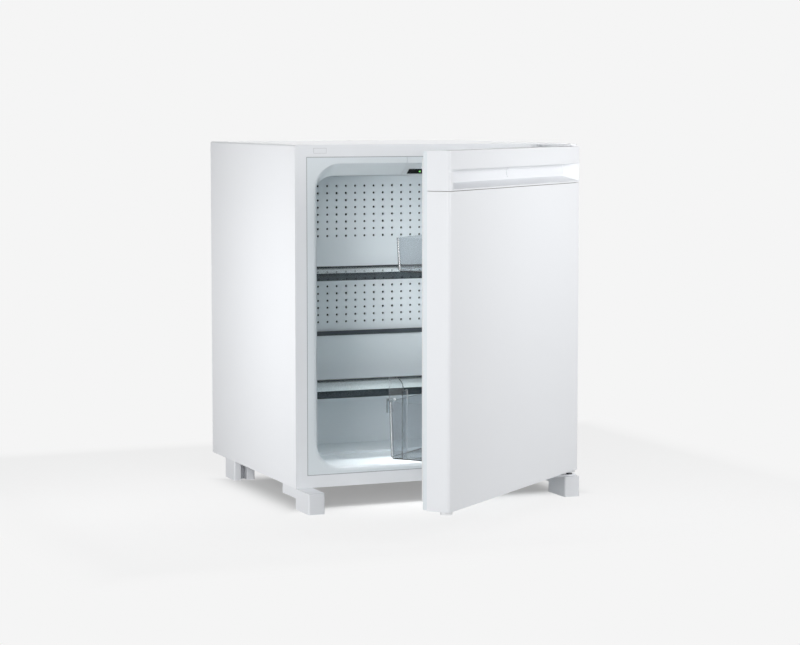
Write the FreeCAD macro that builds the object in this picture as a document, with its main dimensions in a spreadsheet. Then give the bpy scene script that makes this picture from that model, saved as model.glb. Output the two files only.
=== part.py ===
import FreeCAD, Part
import math
import os

import Sketcher

# A free-standing absorption minibar fridge, shown with its door ajar.
# X runs to the right, Y to the back and Z up. The origin lies on the floor, at the
# middle of the four holes in the feet through which the cabinet is screwed down.

SIZES = {
    # Cabinet shell
    "cabinet_width": 486,
    "cabinet_depth": 440,
    "body_height": 558,
    "foot_height": 34,
    "sheet": 0.8,
    "casing_bend": 4,
    "side_return": 20.3,
    "top_return": 20,
    "sill_height": 20.5,
    "insulation_depth": 324,
    # Clearances shared by all pieces
    "fit_gap": 0.3,
    "running_gap": 0.05,
    "overrun": 5,
    # Inner liner, heights from the underside of the body
    "liner_wall": 1.2,
    "opening_side": 39.5,
    "opening_low": 33.5,
    "opening_high": 527.5,
    "opening_radius": 38,
    "mouth_round": 8,
    "mouth_facets": 3,
    "fascia_depth": 28,
    "ceiling_height": 507,
    "floor_height": 30,
    "cavity_depth": 290,
    "lower_depth": 262,
    "step_height": 221,
    "cavity_radius": 3,
    "tray_inset": 24.5,
    "tray_start": 10,
    "tray_end": 166,
    "tray_drop": 4,
    "tray_radius": 20,
    "rib_width": 7,
    "rib_height": 5,
    # Perforated rear panel
    "panel_setback": 266,
    "panel_thickness": 2,
    "panel_top_gap": 7,
    "hole_radius": 2,
    "hole_pitch_x": 17.4,
    "hole_pitch_z": 12.45,
    "hole_columns": 21,
    "hole_rows": 8,
    "upper_field_low": 394.7,
    "lower_field_low": 244.5,
    # Drip channel and drain
    "channel_front_lip": 7,
    "channel_depth": 25,
    "channel_height": 8,
    "channel_wall": 2,
    "channel_side_gap": 5,
    "drain_radius": 4,
    "drain_bore": 2.5,
    "drain_offset": 70,
    "drain_reach": 31,
    # Evaporator
    "fin_plate_thickness": 2,
    "fin_plate_half_width": 182,
    "fin_plate_low": 262,
    "fin_plate_high": 472,
    "fin_depth": 15,
    "fin_thickness": 1,
    "fin_pitch": 22,
    "fin_count": 15,
    "cold_pipe_radius": 6,
    "cold_pipe_bore": 4.5,
    # Shelves
    "upper_shelf_top": 342.2,
    "lower_shelf_top": 144.7,
    "glass_thickness": 4,
    "shelf_setback": 90,
    "shelf_back": 240,
    "shelf_side_gap": 1.5,
    "trim_depth": 12,
    "trim_height": 12.6,
    "trim_lip": 3,
    "trim_over": 0.6,
    "rear_trim_depth": 9,
    "rear_trim_wall": 1.6,
    # Control housing on the ceiling
    "housing_half_width": 47,
    "housing_depth": 110,
    "housing_wall": 2.2,
    "housing_seam": 0.5,
    "window_left": 38,
    "window_right": 12,
    "window_low_share": 0.88,
    "window_high_share": 0.5,
    "window_proud": 0.5,
    "window_thickness": 1.2,
    "control_share": 0.69,
    "led_offset": 17,
    "led_radius": 1.5,
    "led_proud": 0.9,
    "led_length": 4.8,
    "button_offset": 29,
    "button_radius": 5,
    "button_proud": 1.6,
    "button_depth": 3.4,
    "button_flange": 1.5,
    "button_flange_radius": 6.5,
    "lamp_half_width": 20,
    "lamp_start": 52,
    "lamp_length": 34,
    "lamp_proud": 1.5,
    "board_thickness": 1.6,
    "board_start": 40,
    "board_rise": 20,
    # Feet
    "foot_width": 28,
    "foot_ahead": 59,
    "foot_block_back": 5,
    "foot_flange_back": 68,
    "flange_thickness": 16,
    "foot_round": 3,
    "foot_corner": 2.5,
    "rear_foot_start": 318,
    "rear_foot_length": 50,
    "rear_foot_width": 38,
    "rear_leg": 12,
    "rear_foot_gap": 12,
    "rear_foot_wall": 8,
    "rear_foot_roof": 4,
    "fixing_inset": 18,
    "front_fixing_ahead": 20,
    "rear_fixing_back": 340,
    "fixing_radius": 2.5,
    "fixing_depth": 20,
    "fixing_boss": 7,
    # Screws that hold the feet and hinges
    "screw_radius": 2,
    "screw_head_radius": 3.8,
    "screw_head_height": 2,
    "foot_screw_length": 18,
    "foot_screw_seat": 24,
    "hinge_screw_length": 10,
    "front_screw_back": 40,
    "rear_screw_back": 356,
    # Rear cross rail
    "rail_depth": 50,
    "rail_thickness": 1.5,
    "rail_upstand": 18,
    # Hinges
    "hinge_inset": 12,
    "hinge_ahead": 43,
    "pin_radius": 3,
    "pin_depth": 14,
    "pin_head": 1,
    "pin_head_radius": 5.5,
    "hinge_plate": 2.5,
    "hinge_top_gap": 1,
    "hinge_eye": 9,
    "arm_left": 53.8,
    "arm_right": 32.6,
    "slot_low": 544.6,
    "slot_high": 552.2,
    "tab_depth": 30,
    "tab_low": 547,
    "anchor_height": 8,
    "arm_reach": 14,
    "web_setoff": 3.5,
    "cover_proud": 0.5,
    "cover_depth": 5,
    "bracket_width": 36,
    "bracket_edge": 2,
    "bracket_tab": 17,
    "bracket_ahead": 52,
    "bracket_round": 6,
    "bracket_screw_inner": 31,
    "bracket_screw_outer": 11,
    "bracket_screw_rise": 10.5,
    "shoulder_radius": 5,
    # Door, depths from its front face
    "door_gap": 8,
    "door_thickness": 46,
    "door_low": 10,
    "door_high": 553.5,
    "door_angle": 39.7,
    "skin_depth": 38,
    "door_bend": 5,
    "seam_height": 493,
    "cap_height": 3,
    "cap_boss_radius": 9,
    "cap_boss_height": 17,
    "door_liner_inset": 1,
    "door_liner_wall": 2.5,
    "door_liner_round": 3,
    # Handle strip
    "strip_wall": 2.5,
    "recess_depth": 18,
    "recess_top": 525.5,
    "recess_ledge": 505,
    "recess_lip": 496,
    "recess_end": 11.4,
    "recess_slant_front": 3,
    "recess_slant_back": 31,
    "strip_block": 24,
    "strip_seam": 0.8,
    "plug_radius": 8,
    "plug_height": 515.8,
    "plug_proud": 0.6,
    # Hinge bushes
    "bush_radius": 6,
    "bush_length": 16,
    "bush_flange_radius": 9.5,
    "bush_flange": 4.5,
    # Gasket
    "gasket_inset": 12,
    "gasket_inset_ends": 9,
    "gasket_width": 14,
    "gasket_foot": 4,
    "gasket_lip": 3.7,
    "gasket_lip_inset": 3,
    # Door bins
    "bin_end": 54,
    "bin_wall": 2.5,
    "bin_round": 10,
    "bin_draft": 1.5,
    "bin_setoff": 0.5,
    "bin_bevel": 3,
    "upper_bin_low": 366.5,
    "upper_bin_high": 419,
    "upper_bin_reach_low": 120,
    "upper_bin_reach_high": 122,
    "lower_bin_low": 75.5,
    "lower_bin_high": 164.6,
    "lower_bin_reach_low": 133,
    "lower_bin_reach_high": 135.3,
    "slot_drop": 13,
    "slot_height": 24,
    "slot_half_width": 11,
    "lug_offset": 123,
    "lug_half_width": 9,
    "lug_thickness": 6,
    "lug_lip": 2.3,
    "lug_rise": 7,
    "lug_arm": 4,
    # Bottle stop on the lower bin
    "stop_gap": 2,
    "stop_thickness": 2.5,
    "stop_top": 204,
    "stop_back": 109.5,
    "stop_neck": 133.7,
    "stop_round": 18,
    "stop_corner": 3,
    "stop_clip": 2.2,
    "stop_clip_drop": 18,
    "stop_bridge": 3.5,
    "stop_nose_low": 8,
    "stop_nose_high": 6,
    "stop_flange": 13,
    "stop_flange_top": 183,
    "stop_foot_gap": 0.8,
    # Cooling unit on the back
    "strap_width": 25,
    "strap_thickness": 2,
    "strap_left": 150,
    "strap_right": 20.5,
    "strap_low": 22,
    "strap_high": 535,
    "coil_radius": 9,
    "coil_wall": 1.5,
    "coil_bend": 25,
    "coil_left": 195,
    "coil_right": 36,
    "coil_low": 150,
    "coil_pitch": 60,
    "coil_runs": 4,
    "vessel_radius": 28,
    "vessel_wall": 2,
    "vessel_left": 205,
    "vessel_right": 40,
    "vessel_height": 82,
    "tray_box_width": 90,
    "tray_box_depth": 60,
    "tray_box_height": 16,
    "tray_box_wall": 1.5,
    "boiler_left": 62,
    "boiler_width": 72,
    "boiler_depth": 72,
    "boiler_low": 42,
    "boiler_high": 330,
    "boiler_wall": 1,
    "heater_radius": 7,
    "heater_drop": 14,
    "heater_offset": 20,
    "heater_length": 90,
    "heater_collar": 3,
    "riser_radius": 11,
    "riser_bend": 35,
    "condenser_height": 492,
    "condenser_left": 205,
    "condenser_fin_half": 34,
    "condenser_fin_thickness": 0.8,
    "condenser_fin_pitch": 14,
    "condenser_fin_count": 13,
    "condenser_fin_left": 145,
    "warm_pipe_offset": 172,
    "warm_pipe_height": 452,
    "warm_pipe_bend": 14,
    "terminal_left": 160,
    "terminal_width": 60,
    "terminal_depth": 46,
    "terminal_low": 44,
    "terminal_height": 72,
    "inlet_radius": 9,
    "inlet_bore": 3.6,
    "inlet_length": 14,
    "lead_radius": 2.5,
    "lead_sag": 20,
    "lead_bend": 8,
}

doc = FreeCAD.newDocument("minibar_fridge")
sheet_table = doc.addObject("Spreadsheet::Sheet", "dims")
for row, (alias, number) in enumerate(SIZES.items(), start=1):
    sheet_table.set(f"A{row}", alias)
    sheet_table.set(f"B{row}", str(number))
    sheet_table.setAlias(f"B{row}", alias)
doc.recompute()


class Size:
    """A value that carries both its number and its formula on the sheet."""

    def __init__(self, number, text):
        self.number = float(number)
        self.text = text

    @staticmethod
    def of(value):
        return value if isinstance(value, Size) else Size(value, repr(value))

    def __float__(self):
        return self.number

    def __neg__(self):
        return Size(-self.number, f"(-{self.text})")

    def __add__(self, other):
        other = Size.of(other)
        return Size(self.number + other.number, f"({self.text} + {other.text})")

    def __sub__(self, other):
        other = Size.of(other)
        return Size(self.number - other.number, f"({self.text} - {other.text})")

    def __mul__(self, other):
        other = Size.of(other)
        return Size(self.number * other.number, f"({self.text} * {other.text})")

    def __truediv__(self, other):
        other = Size.of(other)
        return Size(self.number / other.number, f"({self.text} / {other.text})")

    def __radd__(self, other):
        return Size.of(other) + self

    def __rmul__(self, other):
        return Size.of(other) * self


class Sheet:
    """The driving dimensions, read back from the sheet by name."""

    def __getattr__(self, alias):
        return Size(float(sheet_table.get(alias)), f"dims.{alias}")


d = Sheet()


def root(size):
    """The square root of a size."""
    return Size(math.sqrt(size.number), f"sqrt({size.text})")


def rectangle(x0, x1, y0, y1, radius=None):
    """The four corners of a rectangle, counterclockwise, all rounded alike."""
    return [(x0, y0, radius), (x1, y0, radius), (x1, y1, radius), (x0, y1, radius)]


class Circle:
    """A round outline, or a ring where it has a bore."""

    def __init__(self, x, y, radius, bore=None):
        self.centre = (x, y)
        self.radii = [radius] if bore is None else [radius, bore]


def place_point(sketch, geometry, position, x, y):
    """Hold a point of the sketch at x and y from its origin."""
    for kind, axis, value in (("DistanceX", -2, x), ("DistanceY", -1, y)):
        value = Size.of(value)
        if value.number == 0 and not value.text.startswith("("):
            sketch.addConstraint(Sketcher.Constraint("PointOnObject", geometry, position, axis))
            continue
        index = sketch.addConstraint(
            Sketcher.Constraint(kind, -1, 1, geometry, position, value.number)
        )
        sketch.setExpression(f"Constraints[{index}]", value.text)


def draw_circle(sketch, circle):
    """Draw a circle, or two on one centre."""
    x, y = (float(value) for value in circle.centre)
    for radius in circle.radii:
        ring = sketch.addGeometry(
            Part.Circle(FreeCAD.Vector(x, y, 0), FreeCAD.Vector(0, 0, 1), float(radius))
        )
        place_point(sketch, ring, 3, *circle.centre)
        index = sketch.addConstraint(Sketcher.Constraint("Radius", ring, float(radius)))
        sketch.setExpression(f"Constraints[{index}]", radius.text)


def draw_path(sketch, corners, closed=True):
    """Draw straight runs through the corners, with an arc at each that has a radius.

    An arc is drawn anticlockwise, so on a turn to the right it starts where the path leaves it.
    """
    count = len(corners)
    spots = [FreeCAD.Vector(float(corner[0]), float(corner[1]), 0) for corner in corners]
    radii = [corner[2] if len(corner) > 2 else None for corner in corners]
    arrive = list(spots)
    leave = list(spots)
    arcs = {}
    arc_ends = {}
    for i in range(count):
        if radii[i] is None:
            continue
        before = (spots[i - 1] - spots[i]).normalize()
        after = (spots[(i + 1) % count] - spots[i]).normalize()
        half_turn = before.getAngle(after) / 2
        reach = float(radii[i]) / math.tan(half_turn)
        arrive[i] = spots[i] + before * reach
        leave[i] = spots[i] + after * reach
        middle = (before + after).normalize()
        centre = spots[i] + middle * (float(radii[i]) / math.sin(half_turn))
        crown = centre - middle * float(radii[i])
        if before.cross(after).z < 0:
            arcs[i] = Part.Arc(arrive[i], crown, leave[i])
            arc_ends[i] = (1, 2)
        else:
            arcs[i] = Part.Arc(leave[i], crown, arrive[i])
            arc_ends[i] = (2, 1)
    runs = []
    for i in range(count if closed else count - 1):
        end = arrive[(i + 1) % count]
        runs.append(sketch.addGeometry(Part.LineSegment(leave[i], end)))
    for i in range(count):
        before = runs[i - 1] if closed or i > 0 else None
        after = runs[i] if i < len(runs) else None
        if i not in arcs:
            if before is not None and after is not None:
                sketch.addConstraint(Sketcher.Constraint("Coincident", before, 2, after, 1))
            if after is not None:
                place_point(sketch, after, 1, corners[i][0], corners[i][1])
            else:
                place_point(sketch, before, 2, corners[i][0], corners[i][1])
            continue
        arc = sketch.addGeometry(arcs[i])
        first, last = arc_ends[i]
        corner = sketch.addGeometry(Part.Point(spots[i]), True)
        place_point(sketch, corner, 1, corners[i][0], corners[i][1])
        sketch.addConstraint(Sketcher.Constraint("PointOnObject", corner, 1, before))
        sketch.addConstraint(Sketcher.Constraint("PointOnObject", corner, 1, after))
        sketch.addConstraint(Sketcher.Constraint("Tangent", before, 2, arc, first))
        sketch.addConstraint(Sketcher.Constraint("Tangent", arc, last, after, 1))
        index = sketch.addConstraint(Sketcher.Constraint("Radius", arc, float(radii[i])))
        sketch.setExpression(f"Constraints[{index}]", radii[i].text)


class Tilted:
    """A plane turned about X, whose normal is given by its Y and Z parts."""

    def __init__(self, x, y, z, normal_y, normal_z):
        self.centre = (x, y, z)
        self.normal = (normal_y, normal_z)

    def placement(self, start):
        """The formula of the plane, moved along its normal."""
        x, y, z = self.centre
        along = (y + self.normal[0] * start, z + self.normal[1] * start)
        place = f"vector({x.text}; {along[0].text}; {along[1].text})"
        return f"placement({place}; rotation(vector(1; 0; 0); acos({self.normal[1].text})))"


class Piece:
    """One sub-part, built in a body from bound sketches.

    The plane XY is drawn in X and Y, XZ in X and Z, and YZ in Y and Z. A feature starts at a
    place along the third axis and grows towards its positive end.
    """

    pieces = []

    def __init__(self, label, placement=None, scattered=False):
        self.body = doc.addObject("PartDesign::Body", label)
        self.body.Label = label
        self.body.AllowCompound = scattered
        self.cuts = []
        if placement is not None:
            self.body.setExpression("Placement", placement)
        Piece.pieces.append(self)

    def sketch(self, plane, start, outline, closed=True):
        """Draw an outline on one of the body's own planes, moved along its normal."""
        item = self.body.newObject("Sketcher::SketchObject", "outline")
        tilted = isinstance(plane, Tilted)
        role = "XY_Plane" if tilted else f"{plane}_Plane"
        origin = self.body.Origin.OriginFeatures
        item.AttachmentSupport = [(next(part for part in origin if part.Role == role), "")]
        item.MapMode = "FlatFace"
        if tilted:
            item.setExpression("AttachmentOffset", plane.placement(start))
        else:
            shift = -start if plane == "XZ" else start
            item.setExpression("AttachmentOffset.Base.z", shift.text)
        if isinstance(outline, Circle):
            draw_circle(item, outline)
        else:
            draw_path(item, outline, closed)
        return item

    def pad(self, plane, outline, start, length):
        """Add a prism on the outline."""
        profile = self.sketch(plane, start, outline)
        feature = self.body.newObject("PartDesign::Pad", "pad")
        feature.Profile = profile
        feature.Reversed = plane == "XZ"
        feature.setExpression("Length", length.text)
        return feature

    def pocket(self, plane, outline, start, length):
        """Cut a prism on the outline."""
        profile = self.sketch(plane, start, outline)
        feature = self.body.newObject("PartDesign::Pocket", "pocket")
        feature.Profile = profile
        feature.Reversed = plane != "XZ"
        feature.setExpression("Length", length.text)
        self.cuts.append(feature)
        return feature

    def loft(self, plane, first, second, cut=False):
        """Add or cut a ruled form between two outlines, each with its place on the third axis."""
        sections = [self.sketch(plane, start, outline) for start, outline in (first, second)]
        kind = "PartDesign::SubtractiveLoft" if cut else "PartDesign::AdditiveLoft"
        feature = self.body.newObject(kind, "loft")
        feature.Profile = sections[0]
        feature.Sections = [sections[1]]
        feature.Ruled = True
        if cut:
            self.cuts.append(feature)
        return feature

    def pipe(self, plane, start, path, section_plane, section_start, section):
        """Run a tube along an open path."""
        spine = self.sketch(plane, start, path, closed=False)
        profile = self.sketch(section_plane, section_start, section)
        feature = self.body.newObject("PartDesign::AdditivePipe", "pipe")
        feature.Profile = profile
        feature.Spine = (spine, [])
        return feature

    def repeat(self, feature, axis, length, count):
        """Repeat a feature in a row along one of the body's own axes."""
        origin = self.body.Origin.OriginFeatures
        pattern = self.body.newObject("PartDesign::LinearPattern", "row")
        pattern.Originals = [feature]
        pattern.Direction = (next(part for part in origin if part.Role == f"{axis}_Axis"), [""])
        pattern.setExpression("Length", length.text)
        pattern.setExpression("Occurrences", count.text)
        self.body.Tip = pattern
        return pattern

    def round_edges(self, radius, chosen):
        """Round the edges whose middle point the test accepts."""
        doc.recompute()
        tip = self.body.Tip
        names = []
        for index, edge in enumerate(tip.Shape.Edges, start=1):
            middle = edge.valueAt((edge.FirstParameter + edge.LastParameter) / 2)
            if chosen(middle, edge):
                names.append(f"Edge{index}")
        feature = self.body.newObject("PartDesign::Fillet", "rounding")
        feature.Base = (tip, names)
        feature.setExpression("Radius", radius.text)
        return feature


def near(value, size):
    """Whether a coordinate lies at the place that a size names."""
    return abs(value - float(size)) < float(d.running_gap)


# Reference planes
nothing = Size(0, "0")
half = d.cabinet_width / 2
setback = (d.rear_fixing_back - d.front_fixing_ahead) / 2
front = -setback
back = front + d.cabinet_depth
base = d.foot_height
top = base + d.body_height
foam_back = front + d.insulation_depth
unit_front = foam_back + d.sheet
opening_half = half - d.opening_side


def spanning(lower, upper):
    """A start and a length from two places along an axis."""
    return lower, upper - lower


def on_side(side, inset_inner, inset_outer):
    """The two X places between two insets from one side, the lower place first."""
    return sorted((side * (half - inset_inner), side * (half - inset_outer)), key=float)


def arm_span(side):
    """The X places of a hinge slot on one side."""
    return on_side(side, d.arm_left, d.arm_right)


# Outer casing: one painted sheet bent over both sides and the top, with returns on the front
casing = Piece("outer_casing")
casing.pad(
    "XZ",
    [(-half, base), (half, base), (half, top, d.casing_bend), (-half, top, d.casing_bend)],
    front,
    d.cabinet_depth,
)
inner_bend = d.casing_bend - d.sheet
inner_half = half - d.sheet
inner_top = top - d.sheet
casing.pocket(
    "XZ",
    [
        (-inner_half, base - d.overrun),
        (inner_half, base - d.overrun),
        (inner_half, inner_top, inner_bend),
        (-inner_half, inner_top, inner_bend),
    ],
    *spanning(front + d.sheet, back + d.overrun),
)
return_half = half - d.side_return
frame_top = top - d.top_return
casing.pocket(
    "XZ",
    rectangle(-return_half, return_half, base - d.overrun, frame_top),
    *spanning(front - d.overrun, front + d.sheet + d.overrun),
)
slot_low = base + d.slot_low
slot_high = base + d.slot_high
for side in (-1, 1):
    casing.pocket(
        "XZ",
        rectangle(*arm_span(side), slot_low, slot_high),
        *spanning(front - d.overrun, front + d.sheet + d.overrun),
    )

# Bottom pan with the sill under the opening
pan = Piece("bottom_pan")
pan.pad("XY", rectangle(-inner_half, inner_half, front + d.sheet, foam_back), base, d.sheet)
pan.pad("XZ", rectangle(-return_half, return_half, base, base + d.sill_height), front, d.sheet)

# Inner liner: the white moulded tub with its front frame and sloped fascia
opening_low = base + d.opening_low
opening_high = base + d.opening_high
ceiling = base + d.ceiling_height
floor_top = base + d.floor_height
fascia_back = front + d.fascia_depth
step = base + d.step_height
cavity_back = front + d.cavity_depth
lower_back = front + d.lower_depth
tray_half = opening_half - d.tray_inset
tray_bottom = floor_top - d.tray_drop


def cavity_outline(grow):
    """The cabinet's inside behind the fascia, enlarged all round."""
    edge = opening_half + grow
    return rectangle(-edge, edge, floor_top - grow, ceiling + grow, d.opening_radius + grow)


def mouth_steps(offset):
    """Places and outlines of the fascia, whose sides and bottom roll over into the front frame.

    The offset is that of a surface behind the visible one.
    """
    turn = d.mouth_round - offset
    facets = int(float(d.mouth_facets))
    steps = []
    for facet in range(facets + 1):
        angle = math.pi / 2 * (1 - facet / facets)
        depth = d.mouth_round - turn * math.sin(angle)
        widen = d.mouth_round - turn * math.cos(angle)
        share = depth / d.fascia_depth
        edge = opening_half + widen
        low = opening_low + (floor_top - opening_low) * share - widen
        high = opening_high + (ceiling - opening_high) * share + offset
        outline = rectangle(-edge, edge, low, high, d.opening_radius + widen)
        steps.append((front + depth, outline))
    steps.append((fascia_back, cavity_outline(offset)))
    return steps


def line_mouth(piece, offset, cut=False):
    """Add or cut the fascia step by step."""
    steps = mouth_steps(offset)
    for first, second in zip(steps, steps[1:]):
        piece.loft("XZ", first, second, cut=cut)


def upper_outline(grow):
    """The deeper upper part of the inside, which holds the cooling plate."""
    edge = opening_half - d.liner_wall + grow
    high = ceiling - d.liner_wall + grow
    return rectangle(-edge, edge, step - grow, high, d.cavity_radius + grow)


def tray_outline(grow):
    """The shallow tray pressed into the floor."""
    edge = tray_half + grow
    return rectangle(
        -edge, edge, front + d.tray_start - grow, front + d.tray_end + grow, d.tray_radius + grow
    )


wall = d.liner_wall
liner = Piece("inner_liner")
liner.pad(
    "XZ", rectangle(-return_half, return_half, base + d.sill_height, frame_top), front, wall
)
line_mouth(liner, wall)
liner.pad("XZ", cavity_outline(wall), *spanning(fascia_back, lower_back + wall))
liner.pad("XZ", upper_outline(wall), *spanning(lower_back, cavity_back + wall))
liner.pad("XY", tray_outline(wall), tray_bottom - wall, d.tray_drop)
line_mouth(liner, nothing, cut=True)
liner.pocket("XZ", cavity_outline(nothing), *spanning(fascia_back, lower_back))
liner.pocket("XZ", upper_outline(nothing), *spanning(lower_back - wall, cavity_back))
liner.pocket("XY", tray_outline(nothing), *spanning(tray_bottom, opening_low))

# Ledges for the shelves on both side walls
rib_start = front + d.shelf_setback + d.trim_depth + d.fit_gap
rib_end = front + d.shelf_back
shelf_tops = {"upper": base + d.upper_shelf_top, "lower": base + d.lower_shelf_top}
for glass_top in shelf_tops.values():
    rib_top = glass_top - d.glass_thickness
    rib = rectangle(rib_start, rib_end, rib_top - d.rib_height, rib_top)
    liner.pad("YZ", rib, -opening_half - wall / 2, d.rib_width + wall / 2)
    liner.pad("YZ", rib, opening_half - d.rib_width, d.rib_width + wall / 2)

# Notch for the control housing, and the holes for pipes and drain
notch_half = d.housing_half_width + d.housing_seam
housing_back = front + d.housing_depth
liner.pocket(
    "XZ",
    rectangle(-notch_half, notch_half, ceiling - wall, frame_top + d.overrun),
    *spanning(front - d.overrun, housing_back + d.housing_seam),
)
warm_pipe = (-d.warm_pipe_offset, base + d.warm_pipe_height)
coil_top = base + d.coil_low + d.coil_pitch * (d.coil_runs - 1)
cold_pipe = (d.coil_right + d.cold_pipe_radius + d.fit_gap, coil_top)
drain = (-d.drain_offset, step + d.channel_height / 2)


def pipe_holes(piece, start, end, margin):
    """Cut the two pipe holes and the drain hole through a wall."""
    for centre, radius in (
        (warm_pipe, d.cold_pipe_radius),
        (cold_pipe, d.cold_pipe_radius),
        (drain, d.drain_radius),
    ):
        piece.pocket("XZ", Circle(*centre, radius + margin), *spanning(start, end))


pipe_holes(liner, cavity_back - wall, cavity_back + wall + d.overrun, d.fit_gap)

# Insulation foamed between casing and liner
foam = Piece("insulation")
foam.pad(
    "XZ",
    [
        (-inner_half, base + d.sheet),
        (inner_half, base + d.sheet),
        (inner_half, inner_top, inner_bend),
        (-inner_half, inner_top, inner_bend),
    ],
    *spanning(front + wall, foam_back),
)
clear = wall + d.fit_gap
foam_mouth, foam_mouth_outline = mouth_steps(clear)[0]
foam.pocket("XZ", foam_mouth_outline, *spanning(front, foam_mouth))
line_mouth(foam, clear, cut=True)
foam.pocket("XZ", cavity_outline(clear), *spanning(fascia_back, lower_back + clear))
foam.pocket("XZ", upper_outline(clear), *spanning(lower_back, cavity_back + clear))
foam.pocket("XY", tray_outline(clear), *spanning(tray_bottom - clear, floor_top))
foam.pocket(
    "XZ",
    rectangle(-notch_half, notch_half, ceiling, frame_top + d.housing_seam),
    *spanning(front, housing_back + d.housing_seam),
)
tab_low = base + d.tab_low
for side in (-1, 1):
    foam.pocket(
        "XZ",
        rectangle(*arm_span(side), tab_low - d.anchor_height, slot_high),
        *spanning(front, front + d.tab_depth),
    )
pipe_holes(foam, cavity_back, foam_back + d.overrun, d.fit_gap)

# Galvanised rear panel behind the insulation
rear_panel = Piece("rear_panel")
rear_panel.pad(
    "XZ",
    [
        (-inner_half, base),
        (inner_half, base),
        (inner_half, inner_top, inner_bend),
        (-inner_half, inner_top, inner_bend),
    ],
    foam_back,
    d.sheet,
)
pipe_holes(rear_panel, foam_back - d.overrun, unit_front + d.overrun, d.fit_gap)

# Cross rail under the cooling unit, which the rear feet carry
rail = Piece("rear_cross_rail")
rail.pad(
    "XY",
    rectangle(-inner_half, inner_half, unit_front, unit_front + d.rail_depth),
    base,
    d.rail_thickness,
)
rail.pad(
    "XZ",
    rectangle(-inner_half, inner_half, base, base + d.rail_upstand),
    unit_front,
    d.rail_thickness,
)

# Perforated panel in front of the cooling plate, two fields of small round holes, with its
# lower corners notched for the ends of the drip channel
panel_front = front + d.panel_setback
panel_half = opening_half - wall - d.fit_gap
panel_low = step + d.channel_wall
panel_high = ceiling - wall - d.panel_top_gap
panel_blank = Part.makeBox(
    float(panel_half * 2),
    float(d.panel_thickness),
    float(panel_high - panel_low),
    FreeCAD.Vector(float(-panel_half), float(panel_front), float(panel_low)),
)
channel_half = opening_half - d.channel_side_gap
notch_inner = channel_half - d.channel_wall - d.fit_gap
notch_width = panel_half - notch_inner
drills = [
    Part.makeBox(
        float(notch_width + d.overrun),
        float(d.panel_thickness + 2 * d.overrun),
        float(d.channel_height - d.channel_wall + d.fit_gap + d.overrun),
        FreeCAD.Vector(float(left), float(panel_front - d.overrun), float(panel_low - d.overrun)),
    )
    for left in (notch_inner, -panel_half - d.overrun)
]
columns = int(float(d.hole_columns))
for field_low in (d.upper_field_low, d.lower_field_low):
    for row in range(int(float(d.hole_rows))):
        for column in range(columns):
            x = float(d.hole_pitch_x) * (column - (columns - 1) / 2)
            z = float(base + field_low + d.hole_pitch_z * row)
            start = FreeCAD.Vector(x, float(panel_front - d.overrun), z)
            drills.append(
                Part.makeCylinder(
                    float(d.hole_radius),
                    float(d.panel_thickness + 2 * d.overrun),
                    start,
                    FreeCAD.Vector(0, 1, 0),
                )
            )
panel = doc.addObject("Part::Feature", "perforated_panel")
panel.Label = "perforated_panel"
panel.Shape = panel_blank.cut(Part.makeCompound(drills)).Solids[0]
panel.Placement = FreeCAD.Placement()

# Drip channel that catches the panel's lower edge, and the drain tube through the back
channel_front = lower_back - d.channel_front_lip + d.panel_thickness * 2
channel_back = channel_front + d.channel_depth
channel = Piece("drip_channel")
channel.pad(
    "YZ",
    rectangle(channel_front, channel_back, step, step + d.channel_height),
    -channel_half,
    2 * channel_half,
)
channel.pocket(
    "YZ",
    rectangle(
        channel_front + d.channel_wall,
        channel_back - d.channel_wall,
        step + d.channel_wall,
        step + d.channel_height + d.overrun,
    ),
    -channel_half + d.channel_wall,
    2 * (channel_half - d.channel_wall),
)
drain_start = channel_back + d.running_gap
drain_tube = Piece("drain_tube")
drain_tube.pad(
    "XZ",
    Circle(*drain, d.drain_radius, d.drain_bore),
    *spanning(drain_start, unit_front + d.drain_reach),
)
channel.pocket(
    "XZ",
    Circle(*drain, d.drain_bore),
    *spanning(channel_back - d.channel_wall - d.fit_gap, channel_back + d.overrun),
)

# Finned cooling plate against the liner's rear wall
plate_front = cavity_back - d.fin_plate_thickness
fins = Piece("evaporator_fins")
fins.pad(
    "XZ",
    rectangle(
        -d.fin_plate_half_width,
        d.fin_plate_half_width,
        base + d.fin_plate_low,
        base + d.fin_plate_high,
    ),
    plate_front,
    d.fin_plate_thickness,
)
fin_span = d.fin_pitch * (d.fin_count - 1)
first_fin = fins.pad(
    "YZ",
    rectangle(
        plate_front - d.fin_depth,
        plate_front,
        base + d.fin_plate_low,
        base + d.fin_plate_high,
    ),
    -(fin_span / 2) - d.fin_thickness / 2,
    d.fin_thickness,
)
fins.repeat(first_fin, "X", fin_span, d.fin_count)

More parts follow.
